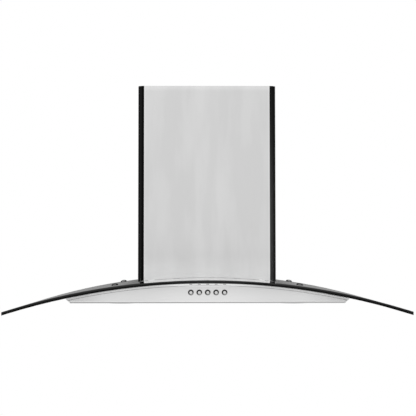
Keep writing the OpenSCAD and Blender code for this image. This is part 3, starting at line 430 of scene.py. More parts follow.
# %% [markdown]
# ## Clear glass with dark edges
#
# The canopy is one sheet of clear toughened glass, bent to a single radius. Seen from above
# it is clear. Seen almost along its face, as here, it works as a mirror: in its middle the
# chimney is mirrored, so the steel seems to run down to the edge, and at the sides a painted
# reflection of the dim room behind stands in the colour. Its polished edges are painted nearly
# black as shade, since there the eye looks through the whole width of the glass, with painted
# light towards their top and middle and a painted highlight on the lower arris. The shader
# mixes three skins: clear glass, a mirror in front of the chimney with the painted room beside
# it, which takes over at a low angle, and the edge, found by its level normal.

# %% Glass
glass_lo, glass_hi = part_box("glass_canopy")
chimney_lo, chimney_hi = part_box("chimney_lower")
glass_t = 0.007
end_slope = 0.953                   # cosine of the slope at both ends of the glass
half_width = glass_hi.x
glass_sag = glass_hi.z - glass_lo.z - glass_t * end_slope
bend_r = (half_width ** 2 + glass_sag ** 2) / (2 * glass_sag)
bend_z = glass_hi.z - bend_r

# How the painted reflection of the dim room fades towards the front and back edges and the chimney
front_fade, rear_fade, side_fade = 0.09, 0.10, 0.045
mirror_taper = 0.075                # how fast the mirrored chimney narrows to the front
mirror_side = (-0.004, 0.001)       # the soft side of the mirrored chimney
low_angle = (0.35, 0.72)            # where the clear face turns into a mirror
level_normal = 0.6                  # an edge's normal rises less than this
# Painted light on the edge: its middle, its fade to the ends and its lit share of the thickness;
# then the height and the ends of the painted highlight on the lower arris
edge_column, edge_fade, lit_share = (0.02, 0.11), (0.1, 0.4), 0.70
arris_h, arris_end = 0.0006, (0.29, 0.31)


def from_bend_axis(finish):
    """The distance from the axis that the glass is bent about."""
    return finish.length(finish.vector_sum(
        "MULTIPLY_ADD", finish.place, (1, 0, 1), (0, 0, -bend_z)))


def mirror_beside_painted_room(glass, across):
    """A mirror in front of the chimney, and beside it a painted reflection of the dim room."""
    along = glass.axis("Y")
    smear = glass.noise(6, detail=3)
    mirror = glass.skin(Base_Color=grey(1.0), Metallic=1.0, Roughness=0.02)
    front = glass.ramp(along, glass_lo.y, glass_lo.y + front_fade)
    rear = glass.ramp(along, glass_hi.y - rear_fade, glass_hi.y)
    near_chimney = glass.ramp(across, chimney_hi.x, chimney_hi.x + side_fade, 0.70, 1.0)
    # Painted reflection of the dim room, darker towards the front edge, the back edge and the
    # chimney
    room = front * (1 - rear * 0.5) * about(1.0, smear, 0.1) * near_chimney
    dim = glass.skin(Base_Color=glass.colour(room, grey(0.06), grey(0.385)),
                     Roughness=0.6, Specular_IOR_Level=0.0)
    in_front = (along - chimney_lo.y).through("MINIMUM", 0.0)
    mirrored = in_front * mirror_taper + (chimney_hi.x - 0.001)
    return glass.mixed(glass.ramp(across - mirrored, *mirror_side), mirror, dim)


def polished_edge(glass, across):
    """Painted nearly black as shade, with painted light towards its top and its middle,
    and a painted highlight on the lower arris.
    """
    depth = from_bend_axis(glass)
    lit = glass.ramp(depth, bend_r - glass_t * lit_share, bend_r)
    painted_middle_light = glass.ramp(across, *edge_column, 1.0, 0.0) * 0.016
    arris = (depth < bend_r - glass_t + arris_h) * glass.ramp(across, *arris_end, 1.0, 0.0)
    # Painted shade: nearly black, with painted light towards top and middle and a painted arris
    # highlight
    tone = lit * glass.ramp(across, *edge_fade, 0.048, 0.028) + painted_middle_light + arris * 0.32 + 0.002
    return glass.skin(Base_Color=glass.even(tone), Roughness=0.12, Specular_IOR_Level=0.03)


canopy = Finish("canopy glass")
across = canopy.axis("X").size()
clear = canopy.skin(Base_Color=(0.93, 0.955, 0.95, 1), Roughness=0.0, IOR=1.5,
                    Transmission_Weight=1.0)
angle = canopy.add("ShaderNodeLayerWeight", {"Blend": 0.12}, output="Fresnel")
face = canopy.mixed(canopy.ramp(angle, *low_angle), clear, mirror_beside_painted_room(canopy, across))
rise = canopy.part(canopy.add("ShaderNodeNewGeometry", output="Normal"), "Z").size()
canopy.done(canopy.mixed(rise < level_normal, face, polished_edge(canopy, across)))
print("glass ready, bent to a radius of", round(bend_r, 3))

# %% [markdown]
# ## Gloss black corner strips
#
# Each front corner of the chimney is finished by a strip in gloss black, bonded into the
# bevel. It is smooth, with a trace of orange peel. Its colour carries a painted highlight along
# the crest of the left strip, and a painted reflection of the room on the inner side of the
# right one, stronger low down.

# %% Black strip
strip_w = trim_hi.x - trim_lo.x
# Shares of the strip's width, from its inner side
crest_start, crest_end, room_fade = (0.30, 0.50), (0.58, 0.80), (0.16, 0.88)

coat = Finish("corner strip")
peel = coat.noise(260, detail=1)
dust = coat.noise((40, 40, 8), detail=4)
share = (coat.axis("X").size() - trim_lo.x) * (1 / strip_w)
# Painted highlight along the crest of the left strip
painted_crest_highlight = coat.ramp(share, *crest_start) * coat.ramp(share, *crest_end, 1.0, 0.0)
right_side = coat.axis("X") > 0
# Painted reflection of the room on the inner side of the right strip, stronger low down
low = coat.ramp(coat.axis("Z"), chimney_hi.z, chimney_lo.z + 0.08)
room = coat.ramp(share, *room_fade, 1.0, 0.0) * right_side * (low * 0.052 + 0.010)
tone = painted_crest_highlight * 0.012 * (1 - right_side) + room + dust * 0.003 + 0.0012
coat.done(coat.skin(Base_Color=coat.even(tone), Roughness=about(0.19, dust, 0.1),
                    Specular_IOR_Level=0.02, Normal=coat.bump(peel, 0.00001)))
print("strip ready,", round(strip_w * 1000, 1), "mm wide")

# %% [markdown]
# ## Cast, plated and bare metals
#
# The small metal parts differ in how they were made. Screws are zinc plated, the lamp cans
# are die-cast, the impeller is bare aluminium and the bearings are bronze. One function
# covers them: a tone, a roughness, and how far a fine speckle and a wide cloud change the
# tone.

# %% Plain metals
def metal(name, tone, roughness, speckle=0.05, warmth=0.0):
    """Metal whose tone strays by the speckle, as a share of itself."""
    skin = Finish(name)
    fine = skin.noise(350, detail=3)
    wide = skin.noise(30)
    colour = skin.colour(wide * 0.6 + fine * 0.4, grey(tone * (1 - speckle), warmth),
                         grey(tone * (1 + speckle), warmth))
    skin.done_in_metal(colour, fine, roughness)


metal("screw zinc", 0.5, 0.38, speckle=0.1)
metal("lamp metal", 0.6, 0.33)
metal("bare aluminium", 0.62, 0.36, speckle=0.08)
metal("bronze", 0.42, 0.4, speckle=0.12, warmth=0.35)
print("plain metals ready")

# %% [markdown]
# ## Polished rings, buttons and domes
#
# These pieces are a few millimetres across, and each mirrors the whole room. In a small
# picture that is hard to trace, so their reflection is painted into the tone by the place on
# the piece: from one tone below to another above, slanted by a painted light from the left,
# with painted shade on the slope round the button's dish. The coordinate wraps at each step
# of the row, so that one material serves all five. The domes are painted dark, with a painted
# highlight spot low down.

# %% Metal of rings, buttons and domes
ring_lo, ring_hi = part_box("bezel_3")
ring_r = (ring_hi.x - ring_lo.x) / 2
button_z = (ring_lo.z + ring_hi.z) / 2
button_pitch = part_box("bezel_4")[0].x - ring_lo.x
dish_r = 0.0034
light_slant = 0.35                  # the light comes a little from the left


def button_metal(name, rim, rim_tone, top_tone, low_tone):
    """Plated metal with a painted reflection of the room by height. Beyond the radius rim
    it gets painted shade.
    """
    skin = Finish(name)
    fine = skin.noise(900, detail=3)
    across = skin.axis("X").through("WRAP", button_pitch / 2, -button_pitch / 2)
    rise = skin.axis("Z") - button_z
    radius = skin.length(skin.vector(across, rise))
    slant = rise - across * light_slant
    # Painted reflection: one tone low down and another high up, slanted by the painted light
    tone = skin.ramp(slant, -0.8 * ring_r, 0.4 * ring_r, low_tone, top_tone)
    # Painted shade beyond the rim, weaker low down
    rim_tone = skin.ramp(slant, -0.75 * ring_r, -0.15 * ring_r, 0.72, rim_tone)
    tone = tone * skin.ramp(radius, rim - 0.0004, rim + 0.0002, 1.0, rim_tone) + fine * 0.01
    skin.done_in_metal(skin.even(tone), fine, 0.28, spread=0.08)


button_metal("ring metal", rim=ring_r * 2, rim_tone=1.0, top_tone=0.0, low_tone=0.42)
button_metal("button metal", rim=dish_r, rim_tone=0.01, top_tone=0.66, low_tone=0.50)

cap_lo, cap_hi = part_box("glass_caps")
dome_r = 0.008
cap_x = cap_hi.x - dome_r
seat_r = bend_r + 0.0008
# Size and height of the painted highlight spot on each dome, lower on the front caps
spot_r, spot_h, front_spot_less = (0.0030, 0.0042), 0.0040, 0.0018

plating = Finish("cap metal")
fine = plating.noise(500, detail=3)
off = (plating.axis("X").size() - cap_x).size()
height = from_bend_axis(plating) - seat_r
in_front = plating.axis("Y") < (cap_lo.y + cap_hi.y) / 2
limit = spot_h - in_front * front_spot_less
# Painted highlight: a light spot low on each dome; the rest of the dome is painted dark
lit = (plating.ramp(off, *spot_r, 1.0, 0.0)
       * plating.ramp(height, limit - 0.0010, limit, 1.0, 0.0))
plating.done_in_metal(plating.even(lit * 0.22 + fine * 0.006 + 0.004), fine, 0.30)
print("rings, buttons and domes ready")

# %% [markdown]
# ## Galvanised sheet
#
# The blower box and the brackets are galvanised. Zinc that sets on steel grows crystals a
# centimetre wide, each of which reflects a little differently. That is a Voronoi texture:
# each cell has a random colour, of which one channel serves as the tone of the crystal.
# A noise bends the coordinates a little first, so that the crystals aren't straight-sided.

# %% Galvanised sheet
crystals_per_metre, waves_per_metre, bending = 95.0, 50.0, 0.012

zinc = Finish("galvanised sheet")
stain = zinc.noise(60, detail=3)
waves = zinc.add("ShaderNodeTexNoise",
                 {"Vector": zinc.place, "Scale": waves_per_metre}, output="Color")
bent = zinc.add("ShaderNodeMix", {0: bending, 4: zinc.place, 5: waves}, output=1,
                data_type="VECTOR")
crystal = zinc.add("ShaderNodeTexVoronoi",
                   {"Vector": bent, "Scale": crystals_per_metre}, output="Color")
tone = zinc.add("ShaderNodeSeparateColor", {0: crystal}, output="Red")
shade = zinc.colour(tone * 0.8 + stain * 0.2, (0.43, 0.45, 0.47, 1), (0.62, 0.64, 0.66, 1))
zinc.done(zinc.skin(Base_Color=shade, Metallic=0.9, Roughness=about(0.42, tone, 0.16),
                    Normal=zinc.bump(tone, 0.00002)))
print("galvanised sheet ready")

# %% [markdown]
# ## Plastics, paint and rubber
#
# Moulded plastic has a faint spark-eroded texture, rubber a duller one. Paint on the motor
# is a grey enamel. One function makes them all, from a tone and a grain.

# %% Plastics
def moulded(name, tone, roughness, grain=900, depth=0.00004, warmth=0.0, gloss=0.4):
    """Plastic, rubber or paint. The grain is the number of pits in a metre."""
    skin = Finish(name)
    pits = skin.noise(grain)
    wide = skin.noise(25, detail=3)
    shade = skin.colour(wide, grey(tone * 0.9, warmth), grey(tone * 1.08, warmth))
    skin.done(skin.skin(Base_Color=shade, Roughness=about(roughness, wide, 0.12),
                        Specular_IOR_Level=gloss, Normal=skin.bump(pits, depth)))


moulded("black plastic", 0.02, 0.45)
moulded("white plastic", 0.72, 0.42, warmth=0.02)
moulded("rubber", 0.03, 0.7, grain=500, depth=0.00008, gloss=0.25)
moulded("motor enamel", 0.13, 0.35, grain=200, depth=0.00002)
moulded("marking ink", 0.24, 0.6)
print("plastics ready")

# %% [markdown]
# ## Frosted lens
#
# The lamps sit in the underside, behind frosted lenses. They are off, so a lens is a pale,
# slightly see-through plastic.

# %% Lens
lens = Finish("frosted lens")
frost = lens.noise(700)
lens.done(lens.skin(
    Base_Color=lens.colour(lens.noise(30), grey(0.78), grey(0.86)),
    Roughness=about(0.45, frost, 0.2), Transmission_Weight=0.25, IOR=1.45,
    Normal=lens.bump(frost, 0.00004)))
print("finishes:", len(finishes))

# %% [markdown]
# ## Shapes, drawn over rings of points
#
# The small pieces that show are made again with the roundings that they have on the real
# hood. Turned pieces, folded sheets and bars have one thing in common: a skin that runs over
# a row of rings, each with the same number of points. On a turned piece the rings lie round
# its axis, on a folded sheet they go round its section, and a bar has just two of them. So
# one function draws the skin, and the others only set out the rings.

# %% Shape helpers
def skinned(rings, closed=False):
    """A mesh over rings of points. Its ends are filled, unless it closes on itself."""
    shape = bmesh.new()
    rings = [[shape.verts.new(point) for point in ring] for ring in rings]
    if closed:
        rings.append(rings[0])
    else:
        shape.faces.new(rings[0])
        shape.faces.new(rings[-1])
    for low, high in zip(rings, rings[1:]):
        for i in range(len(low)):
            shape.faces.new((low[i - 1], low[i], high[i], high[i - 1]))
    bmesh.ops.remove_doubles(shape, verts=shape.verts, dist=1e-7)
    bmesh.ops.recalc_face_normals(shape, faces=shape.faces)
    mesh = bpy.data.meshes.new("shape")
    shape.to_mesh(mesh)
    shape.free()
    return mesh


def softened(corners, radius, steps=3, closed=True):
    """The line through the corners, with a curve at each that starts radius before it."""
    corners = [Vector(corner) for corner in corners]
    line = []
    for i, corner in enumerate(corners):
        if not closed and i in (0, len(corners) - 1):
            line.append(corner)
            continue
        before, after = corners[i - 1] - corner, corners[(i + 1) % len(corners)] - corner
        start = corner + before.normalized() * min(radius, before.length / 2)
        end = corner + after.normalized() * min(radius, after.length / 2)
        for step in range(steps + 1):
            t = step / steps
            line.append(start * (1 - t) ** 2 + corner * 2 * t * (1 - t) + end * t ** 2)
    return line


def turned(profile, sides=40, closed=False):
    """A piece turned about Z, from a line of radii and heights."""
    turns = [math.tau * side / sides for side in range(sides)]
    return skinned([[(radius * math.cos(turn), radius * math.sin(turn), height)
                     for turn in turns] for radius, height in map(Vector, profile)], closed)


def folded(line, thickness, start, end):
    """A sheet that follows a line in X and Z, and runs along Y."""
    rings = []
    for before, point, after in zip(line[:1] + line, line, line[1:] + line[-1:]):
        off = (after - before).orthogonal().normalized() * (thickness / 2)
        near, far = point + off, point - off
        rings.append([(near.x, start, near.y), (near.x, end, near.y), (far.x, end, far.y),
                      (far.x, start, far.y)])
    return skinned(rings)


def bar(outline, low, high):
    """A bar along Z, with that outline in X and Y."""
    return skinned([[(x, y, height) for x, y in outline] for height in (low, high)])


def rectangle(half_x, near, far, radius):
    """An outline in X and Y with round corners."""
    return softened([(-half_x, near), (half_x, near), (half_x, far), (-half_x, far)], radius)


print("shape helpers ready")

# %% [markdown]
# ## From a shape to a piece
#
# A shape is moved to its place inside its mesh, because the object itself stays at the
# origin, as those of the CAD pieces do. Its edges stay sharp where two faces meet at a clear
# angle, and are shaded smooth elsewhere. Then the piece gets the body that it rides on, and
# the CAD pieces that it stands for.

# %% Piece helpers
sharp_angle = math.radians(32)


def plain_mesh(maker):
    """The mesh that an object's modifiers give. The object is removed."""
    mesh = bpy.data.meshes.new_from_object(
        maker.evaluated_get(bpy.context.evaluated_depsgraph_get()))
    bpy.data.objects.remove(maker)
    return mesh


def moved(mesh, matrix):
    """The mesh, moved or turned."""
    mesh.transform(matrix)
    return mesh


def joined(*meshes):
    """One mesh of several."""
    shape = bmesh.new()
    for mesh in meshes:
        shape.from_mesh(mesh)
    whole = bpy.data.meshes.new("shape")
    shape.to_mesh(whole)
    shape.free()
    return whole


def less(mesh, tool):
    """The mesh without the room that the tool takes."""
    blank, cutter = linked("blank", mesh), linked("cutter", tool)
    blank.modifiers.new("cut", "BOOLEAN").object = cutter
    result = plain_mesh(blank)
    bpy.data.objects.remove(cutter)
    return result


def coated(mesh, finish):
    """The mesh, all of it in one finish."""
    mesh.materials.clear()
    mesh.materials.append(finishes[finish])
    return mesh


def piece(name, mesh, body, slot, *stands_for):
    """Places a finished mesh on its body of the hood."""
    mesh.name = name
    mesh.shade_smooth()
    mesh.set_sharp_from_angle(angle=sharp_angle)
    made = linked(name, mesh)
    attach(made, body)
    if stands_for:
        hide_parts(*stands_for)
    print(name, "with", len(mesh.polygons), "faces")


print("piece helpers ready")

# %% [markdown]
# ## Patterns of copies
#
# Bezels, caps, screws, baffles and fins repeat by a rule. Geometry Nodes keep that rule, so
# no copy has to be moved by hand when a size changes. A small tree takes one shape and a few
# named sizes, puts a point where each copy belongs and sets the shape on every point. Each
# tree ends as plain faces with their finish, like any other mesh.

# %% Pattern helpers
class Pattern(Tree):
    """A Geometry Nodes tree that sets out copies of one shape."""

    def __init__(self, name):
        super().__init__(bpy.data.node_groups.new(name, "GeometryNodeTree"))
        self.keys = {}
        self.shape = self.given("Shape", "Geometry")
        self.finish = self.given("Finish", "Material")
        self.tree.interface.new_socket("Shape", in_out="OUTPUT",
                                       socket_type="NodeSocketGeometry")

    def given(self, name, kind="Float"):
        """A named input of the tree."""
        socket = self.tree.interface.new_socket(name, in_out="INPUT",
                                                socket_type="NodeSocket" + kind)
        self.keys[name] = socket.identifier
        return self.add("NodeGroupInput", output=name)

    def line(self, count, first, step):
        """Points in a row."""
        return self.add("GeometryNodeMeshLine", {
            "Count": count, "Start Location": first, "Offset": step}, mode="OFFSET")

    def placed(self, points, spot):
        """The points, each moved to its spot."""
        return self.add("GeometryNodeSetPosition", {"Geometry": points, "Position": spot})

    def copies(self, points, shape, turn=(0, 0, 0)):
        """The shape on each point, turned by angles about X, Y and Z."""
        turn = self.add("FunctionNodeEulerToRotation", {0: turn})
        return self.add("GeometryNodeInstanceOnPoints",
                        {"Points": points, "Instance": shape, "Rotation": turn})

    def plain(self, copies):
        """The copies as faces of their own."""
        return self.add("GeometryNodeRealizeInstances", {"Geometry": copies})

    def finished(self, copies):
        """The end of the tree: plain faces with their finish."""
        whole = self.add("GeometryNodeSetMaterial",
                         {"Geometry": self.plain(copies), "Material": self.finish})
        self.add("NodeGroupOutput", {"Shape": whole})
        return self

    def made(self, shape, finish, **sizes):
        """The plain mesh of all copies. Underscores in the names of sizes stand for spaces."""
        maker = linked("maker", shape)
        layout = maker.modifiers.new("layout", "NODES")
        layout.node_group = self.tree
        layout[self.keys["Finish"]] = finishes[finish]
        for name, value in sizes.items():
            layout[self.keys[name.replace("_", " ")]] = value
        return plain_mesh(maker)


print("pattern helpers ready")

# %% [markdown]
# ## Four rules
#
# A field is rows of copies at equal steps. A ring is copies round an axis. A bend is four
# corners on a cylinder, each leaning outward. And the baffles are two rows that face each
# other, one half a step aside.

# %% Patterns
def field_pattern():
    """Rows of copies: Count in a row, and Rows of them."""
    field = Pattern("field of copies")
    starts = field.line(field.given("Rows", "Int"), field.given("First place", "Vector"),
                        field.given("Row step", "Vector"))
    row = field.line(field.given("Count", "Int"), (0, 0, 0), field.given("Step", "Vector"))
    points = field.plain(field.copies(starts, row))
    return field.finished(field.copies(points, field.shape, field.given("Turn", "Vector")))


def ring_pattern():
    """Copies round an upright axis, each turned outward."""
    ring = Pattern("ring of copies")
    count, radius = ring.given("Count", "Int"), ring.given("Radius")
    turn = (ring.add("GeometryNodeInputIndex") * math.tau).through("DIVIDE", count)
    spot = ring.vector(turn.through("COSINE") * radius, turn.through("SINE") * radius)
    circle = ring.placed(ring.line(count, (0, 0, 0), (0, 0, 0)), spot)
    copies = ring.copies(circle, ring.shape, ring.vector(None, None, turn))
    return ring.finished(ring.add("GeometryNodeTransform", {
        "Geometry": copies, "Translation": ring.given("Middle", "Vector")}))


def bend_pattern():
    """Four corners on a cylinder along Y, each copy leaning with it."""
    bend = Pattern("corners on a bend")
    corners = bend.add("GeometryNodeMeshGrid", {
        "Size X": bend.given("Width"), "Size Y": bend.given("Depth"),
        "Vertices X": 2, "Vertices Y": 2})
    radius = bend.given("Radius")
    flat = bend.add("GeometryNodeInputPosition")
    x, y = bend.part(flat, "X"), bend.part(flat, "Y")
    lean = x.through("DIVIDE", radius).through("ARCSINE")
    height = lean.through("COSINE") * radius + bend.given("Axis height")
    corners = bend.placed(corners, bend.vector(x, y + bend.given("Middle"), height))
    return bend.finished(bend.copies(corners, bend.shape, bend.vector(None, lean)))


def nested_pattern():
    """A row of channels, and a second row over its gaps, turned upside down."""
    nest = Pattern("nested rows")
    count, pitch = nest.given("Count", "Int"), nest.given("Pitch")
    first = nest.given("First place", "Vector")
    step = nest.vector(pitch, None)
    low = nest.copies(nest.line(count, first, step), nest.shape)
    aside = nest.vector_sum("ADD", first, nest.vector(pitch * 0.5, None, nest.given("Rise")))
    high = nest.copies(nest.line(count - 1, aside, step), nest.shape, (0, math.pi, 0))
    both = nest.tree.nodes.new("GeometryNodeJoinGeometry")
    for row in (low, high):
        connect(nest.tree, both.inputs[0], row)
    return nest.finished(Signal(nest.tree, both.outputs[0]))


fields, rings, bends, nests = field_pattern(), ring_pattern(), bend_pattern(), nested_pattern()
outward = (math.pi / 2, 0, 0)       # turns a piece's own Z towards the viewer
print("patterns ready")

# %% [markdown]
# ## Buttons and their rings
#
# Each push-button is a turned cap in a turned ring. The ring has a rounded lip, a short
# barrel that goes through the fascia, and a bore with a little play. The cap has a shallow
# dish, a slope round it, and a stem that ends on the switch. The five rings stay where they
# are, so they are one mesh from the field pattern. Each button moves by itself, so each is a
# mesh of its own, made by the same pattern with a count of one.

# %% Buttons and rings
bore_r, barrel_r = 0.0054, 0.0061
ring_front, ring_back, lip_round = 0.0012, -0.0072, 0.0009
fascia_y = ring_lo.y + ring_front


def in_row(shape, finish, height=button_z, first=0, count=5):
    """Copies over the row of buttons, which is counted from the left."""
    return fields.made(shape, finish, Count=count, Rows=1, Step=(button_pitch, 0, 0),
                       First_place=((first - 2) * button_pitch, fascia_y, height), Turn=outward)


lip = softened([(ring_r, 0.0), (ring_r, ring_front), (bore_r, ring_front)], lip_round,
               steps=5, closed=False)
barrel = [(bore_r, ring_back), (barrel_r, ring_back), (barrel_r, 0.0)]
piece("bezel_rings", in_row(turned(lip + barrel, closed=True), "ring metal"),
      "hood", "bezel_metal", *["bezel_%d" % (i + 1) for i in range(5)])

button_lo, button_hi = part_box("button_3")
button_r = (button_hi.x - button_lo.x) / 2
button_front, stem_end = fascia_y - button_lo.y, fascia_y - button_hi.y
button_back, stem_r = -0.0046, 0.0025
dish = [(0, button_front - 0.0005), (0.002, button_front - 0.00042),
        (0.0033, button_front - 0.0002)]
rim_in, rim_out, slope_h, edge_round = 0.0039, 0.0043, 0.0011, 0.0004
outside = softened([(rim_in, button_front), (rim_out, button_front),
                    (button_r, button_front - slope_h), (button_r, button_back),
                    (stem_r, button_back), (stem_r, stem_end)], edge_round, closed=False)
for i in range(5):
    name = "button_%d" % (i + 1)
    cap = in_row(turned(dish + outside + [(0, stem_end)]), "button metal", first=i, count=1)
    piece("push_" + name, cap, name, "button_cap", name)

# %% [markdown]
# ## Marks above the buttons
#
# A short mark is printed above each button, on the folded lip of the body. The marks say
# nothing here: each is a plain dash of dark ink, a twentieth of a millimetre thick.

# %% Marks
mark_w, mark_h, ink_t, mark_rise = 0.0066, 0.0013, 0.00005, 0.0180
mark = bar(rectangle(mark_w / 2, -mark_h / 2, mark_h / 2, mark_h / 2), 0.0, ink_t)
piece("button_marks", in_row(mark, "marking ink", height=button_z + mark_rise),
      "hood", "black_plastic")

# %% [markdown]
# ## Caps on the glass
#
# Four low domes cover the screws that hold the glass. The real ones are turned from brass
# and plated: a thin straight rim, then the dome, and a well underneath for the screw's head.
# They sit on the bend of the glass, so each leans outward with it. That is the bend pattern.

# %% Glass caps
dome_h, rim_h, rim_round, dome_steps = 0.0047, 0.0007, 0.0002, 8
well_r, well_h = 0.0048, 0.0025
caps_width, caps_depth, caps_middle = 0.424, 0.28, -0.235      # between the caps' axes

rim = [(well_r, 0), (dome_r - rim_round, 0), (dome_r, rim_round)]
turns = [step * math.pi / (2 * dome_steps) for step in range(dome_steps + 1)]
dome = [(dome_r * math.cos(turn), rim_h + (dome_h - rim_h) * math.sin(turn)) for turn in turns]
well = [(0, well_h), (well_r, well_h)]
piece("glass_screw_domes", bends.made(
    turned(rim + dome + well, closed=True), "cap metal", Width=caps_width, Depth=caps_depth,
    Middle=caps_middle, Radius=seat_r, Axis_height=bend_z), "hood", "cap_metal", "glass_caps")

# %% [markdown]
# ## Screws
#
# The cover of the blower and the two sides of the chimney are held by pan head screws. The
# head is turned, and a cross is sunk into it. The cross is cut with a Boolean modifier from
# a tool that narrows downward, like the bit of a screwdriver.

# %% Screws
# The bit above the head and at its tip: its height as a share of the head's, then half the
# length and half the width of an arm as shares of the head's radius
bit_levels = ((1.2, 0.55, 0.14), (-0.1, 0.25, 0.08))


def cross_screw(head_r, head_h, shank_r, shank_l):
    """A pan head screw with its head upward and its seat at the origin."""
    line = softened([(head_r * 0.5, head_h), (head_r, head_h * 0.8), (head_r, 0), (shank_r, 0),
                     (shank_r, -shank_l)], head_h * 0.5, closed=False)
    body = turned([(0, head_h)] + line + [(0, -shank_l)], sides=24)
    bit = []
    for height, arm, width in bit_levels:
        height, arm, width = head_h * height, head_r * arm, head_r * width
        quarter = [(arm, -width), (arm, width), (width, width)]
        bit.append([Matrix.Rotation(turn * math.pi / 2, 3, "Z") @ Vector((x, y, height))
                    for turn in range(4) for x, y in quarter])
    return less(body, skinned(bit))


head_r, shank_r = 0.004, 0.002
head_h, shank_l = 0.002, 0.009
screw_lo, screw_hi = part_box("blower_screws")
piece("blower_cover_screws", fields.made(
    cross_screw(head_r, head_h, shank_r, shank_l), "screw zinc", Count=2, Rows=2,
    First_place=(screw_lo.x + head_r, screw_lo.y + head_h, screw_lo.z + head_r),
    Step=(screw_hi.x - screw_lo.x - 2 * head_r, 0, 0), Turn=outward,
    Row_step=(0, 0, screw_hi.z - screw_lo.z - 2 * head_r)), "hood", "screw_steel", "blower_screws")

head_h, shank_l = 0.0018, 0.008
side_lo, side_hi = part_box("cover_screws")
side_screw = moved(cross_screw(head_r, head_h, shank_r, shank_l),
                   Matrix.Rotation(math.pi / 2, 4, "Y"))
piece("chimney_side_screws", rings.made(
    side_screw, "screw zinc", Count=2, Radius=side_hi.x - head_h,
    Middle=(0, (side_lo.y + side_hi.y) / 2, (side_lo.z + side_hi.z) / 2)),
    "hood", "screw_steel", "cover_screws")

# %% [markdown]
# ## Baffle filters
#
# A baffle filter is two rows of folded channels that face each other. Air has to turn twice
# between them, and the grease is thrown against the sheet. Each channel is a strip of thin
# sheet with four folds: two beside its floor, and two where its sides turn inward to a
# narrow lip, so that the edge doesn't cut.

# %% Baffles
channels, half_share = 8, 0.34      # half_share is half a channel, as a share of the pitch
channel_h, sheet_t, lip_w, lean_w, fold_r = 0.0059, 0.0008, 0.0017, 0.002, 0.0010

for side in ("left", "right"):
    node = "filter_baffles_" + side
    low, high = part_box(node)
    pitch = (high.x - low.x) / (channels - 1 + 2 * half_share)
    half_w = pitch * half_share
    floor_h, top, out = sheet_t / 2, channel_h - sheet_t / 2, half_w - sheet_t / 2
    line = softened([(-out + lip_w, top), (-out, top), (-out + lean_w, floor_h),
                     (out - lean_w, floor_h), (out, top), (out - lip_w, top)],
                    fold_r, closed=False)
    piece("baffles_" + side, nests.made(
        folded(line, sheet_t, low.y, high.y), "filter sheet", Count=channels, Pitch=pitch,
        First_place=(low.x + half_w, 0, low.z), Rise=high.z - low.z),
        "filter_" + side, "filter_sheet", node)

# %% [markdown]
# ## Filter latches
#
# Each filter is let go by a sliding latch. What shows is a moulded plate with round corners,
# a lip to pull, and three low ribs for the finger. The neck goes up through the slot in the
# filter frame to the bar that catches the pan. The parts reach into each other a little.

# %% Latches
lip_h, plate_t, catch_t, overlap = 0.0015, 0.0015, 0.002, 0.0004
neck_half, catch_half, neck_front, neck_back = 0.006, 0.011, 0.002, 0.006
rib_half, rib_round, rib_step, first_rib = 0.014, 0.0006, 0.0022, 0.0058

for side in ("left", "right"):
    node = "filter_latch_" + side
    low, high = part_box(node)
    half_w, near = (high.x - low.x) / 2, low.y + 0.002
    plate_low = low.z + lip_h
    sunk = plate_low + overlap
    # Half the width, from and to along Y, the corners' radius, and from and to along Z
    parts = [bar(rectangle(half, start, end, radius), bottom, top)
             for half, start, end, radius, bottom, top in (
                 (half_w, near, high.y, 0.003, plate_low, plate_low + plate_t),
                 (half_w - 0.0015, near, near + 0.002, 0.0009, low.z, sunk),
                 (neck_half, near + neck_front, near + neck_back, 0.0008, sunk, high.z),
                 (catch_half, low.y, near + neck_back, 0.0008, high.z - catch_t, high.z))]
    rib = bar(rectangle(rib_half, -rib_round, rib_round, rib_round), -rib_round, 0.0002)
    parts.append(fields.made(rib, "black plastic", Count=3, Rows=1, Step=(0, rib_step, 0),
                             First_place=(0, near + first_rib, plate_low)))
    whole = moved(joined(*parts), Matrix.Translation((low.x + half_w, 0, 0)))
    piece("latch_grip_" + side, coated(whole, "black plastic"), "latch_" + side,
          "black_plastic", node)

# %% [markdown]
# ## Lamps
#
# Each lamp is a die-cast can with a flange that is rolled round at its edge. Its back carries
# short fins for cooling, set out by the ring pattern. The lens has fine rings on its face,
# which spread the light. They are a zigzag in the line that the lens is turned from.

# %% Lamps
can_r, can_h, cavity_r, cavity_h, hole_r, step_h = 0.029, 0.017, 0.024, 0.014, 0.026, 0.002
flange_t, back_r, cast_round = 0.0015, 0.01, 0.0012
fins, fins_r, fin_half, fin_h, fin_t, fin_foot = 12, 0.0235, 0.0035, 0.004, 0.0015, 0.0002
prisms, prism_h, flat_share = 9, 0.0005, 0.1

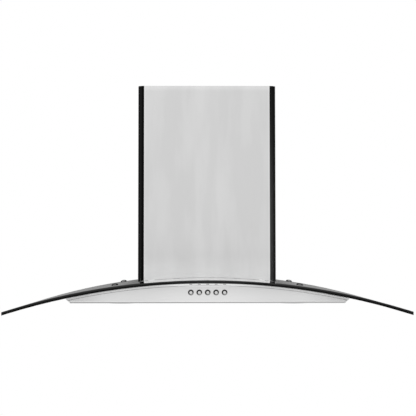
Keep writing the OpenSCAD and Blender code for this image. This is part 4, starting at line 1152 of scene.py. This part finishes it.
for side in ("left", "right"):
    low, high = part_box("lamp_housing_" + side)
    middle = Vector(((low.x + high.x) / 2, (low.y + high.y) / 2, low.z + flange_t))
    flange_r = (high.x - low.x) / 2
    inside = [(0, cavity_h), (cavity_r, cavity_h), (cavity_r, step_h), (hole_r, step_h)]
    outside = softened([(hole_r, 0), (hole_r, -flange_t), (flange_r, -flange_t), (flange_r, 0),
                        (can_r, 0), (can_r, can_h), (back_r, can_h)], cast_round, closed=False)
    can = turned(inside + outside + [(0, can_h)], sides=64)
    fin = bar(rectangle(fin_half, 0, fin_h + fin_foot, cast_round), -fin_t / 2, fin_t / 2)
    crown = rings.made(moved(fin, Matrix.Rotation(math.pi / 2, 4, "X")), "lamp metal",
                       Count=fins, Radius=fins_r,
                       Middle=middle + Vector((0, 0, can_h - fin_foot)))
    whole = joined(moved(can, Matrix.Translation(middle)), crown)
    piece("lamp_can_" + side, coated(whole, "lamp metal"), "hood", "lamp_metal",
          "lamp_housing_" + side)

    low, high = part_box("lamp_lens_" + side)
    lens_r = (high.x - low.x) / 2
    zigzag = [(lens_r * (flat_share + (1 - flat_share) * step / (2 * prisms)),
               low.z + prism_h * (step % 2)) for step in range(2 * prisms + 1)]
    line = [(0, low.z)] + zigzag + [(lens_r, high.z), (0, high.z)]
    face = moved(turned(line, sides=64), Matrix.Translation((middle.x, middle.y, 0)))
    piece("lamp_face_" + side, coated(face, "frosted lens"), "hood", "lens",
          "lamp_lens_" + side)

# %% [markdown]
# ## Dress the CAD pieces
#
# Each CAD piece came with a slot for its finish. Most slots have its name, and the table
# has the others. The covers of the chimney share the body's slot but have upright grain, so
# they are named one by one.

# %% Assign the finishes
finish_of_node = {"chimney_lower": "chimney sheet", "chimney_upper": "chimney sheet"}
finish_of_slot = {
    "brushed_sheet": "body sheet", "clear_glass": "canopy glass", "black_strip": "corner strip",
    "bezel_metal": "ring metal", "button_cap": "button metal", "lens": "frosted lens",
    "galvanised": "galvanised sheet", "screw_steel": "screw zinc",
    "blower_aluminium": "bare aluminium", "motor_paint": "motor enamel",
    "bearing_bronze": "bronze"}

for name, cad_piece in nodes.items():
    for place in cad_piece.material_slots:
        slot_name = place.material.name.split(".")[0]
        slot_finish = finish_of_slot.get(slot_name, slot_name.replace("_", " "))
        place.material = finishes[finish_of_node.get(name, slot_finish)]
print("dressed", len(nodes), "pieces")
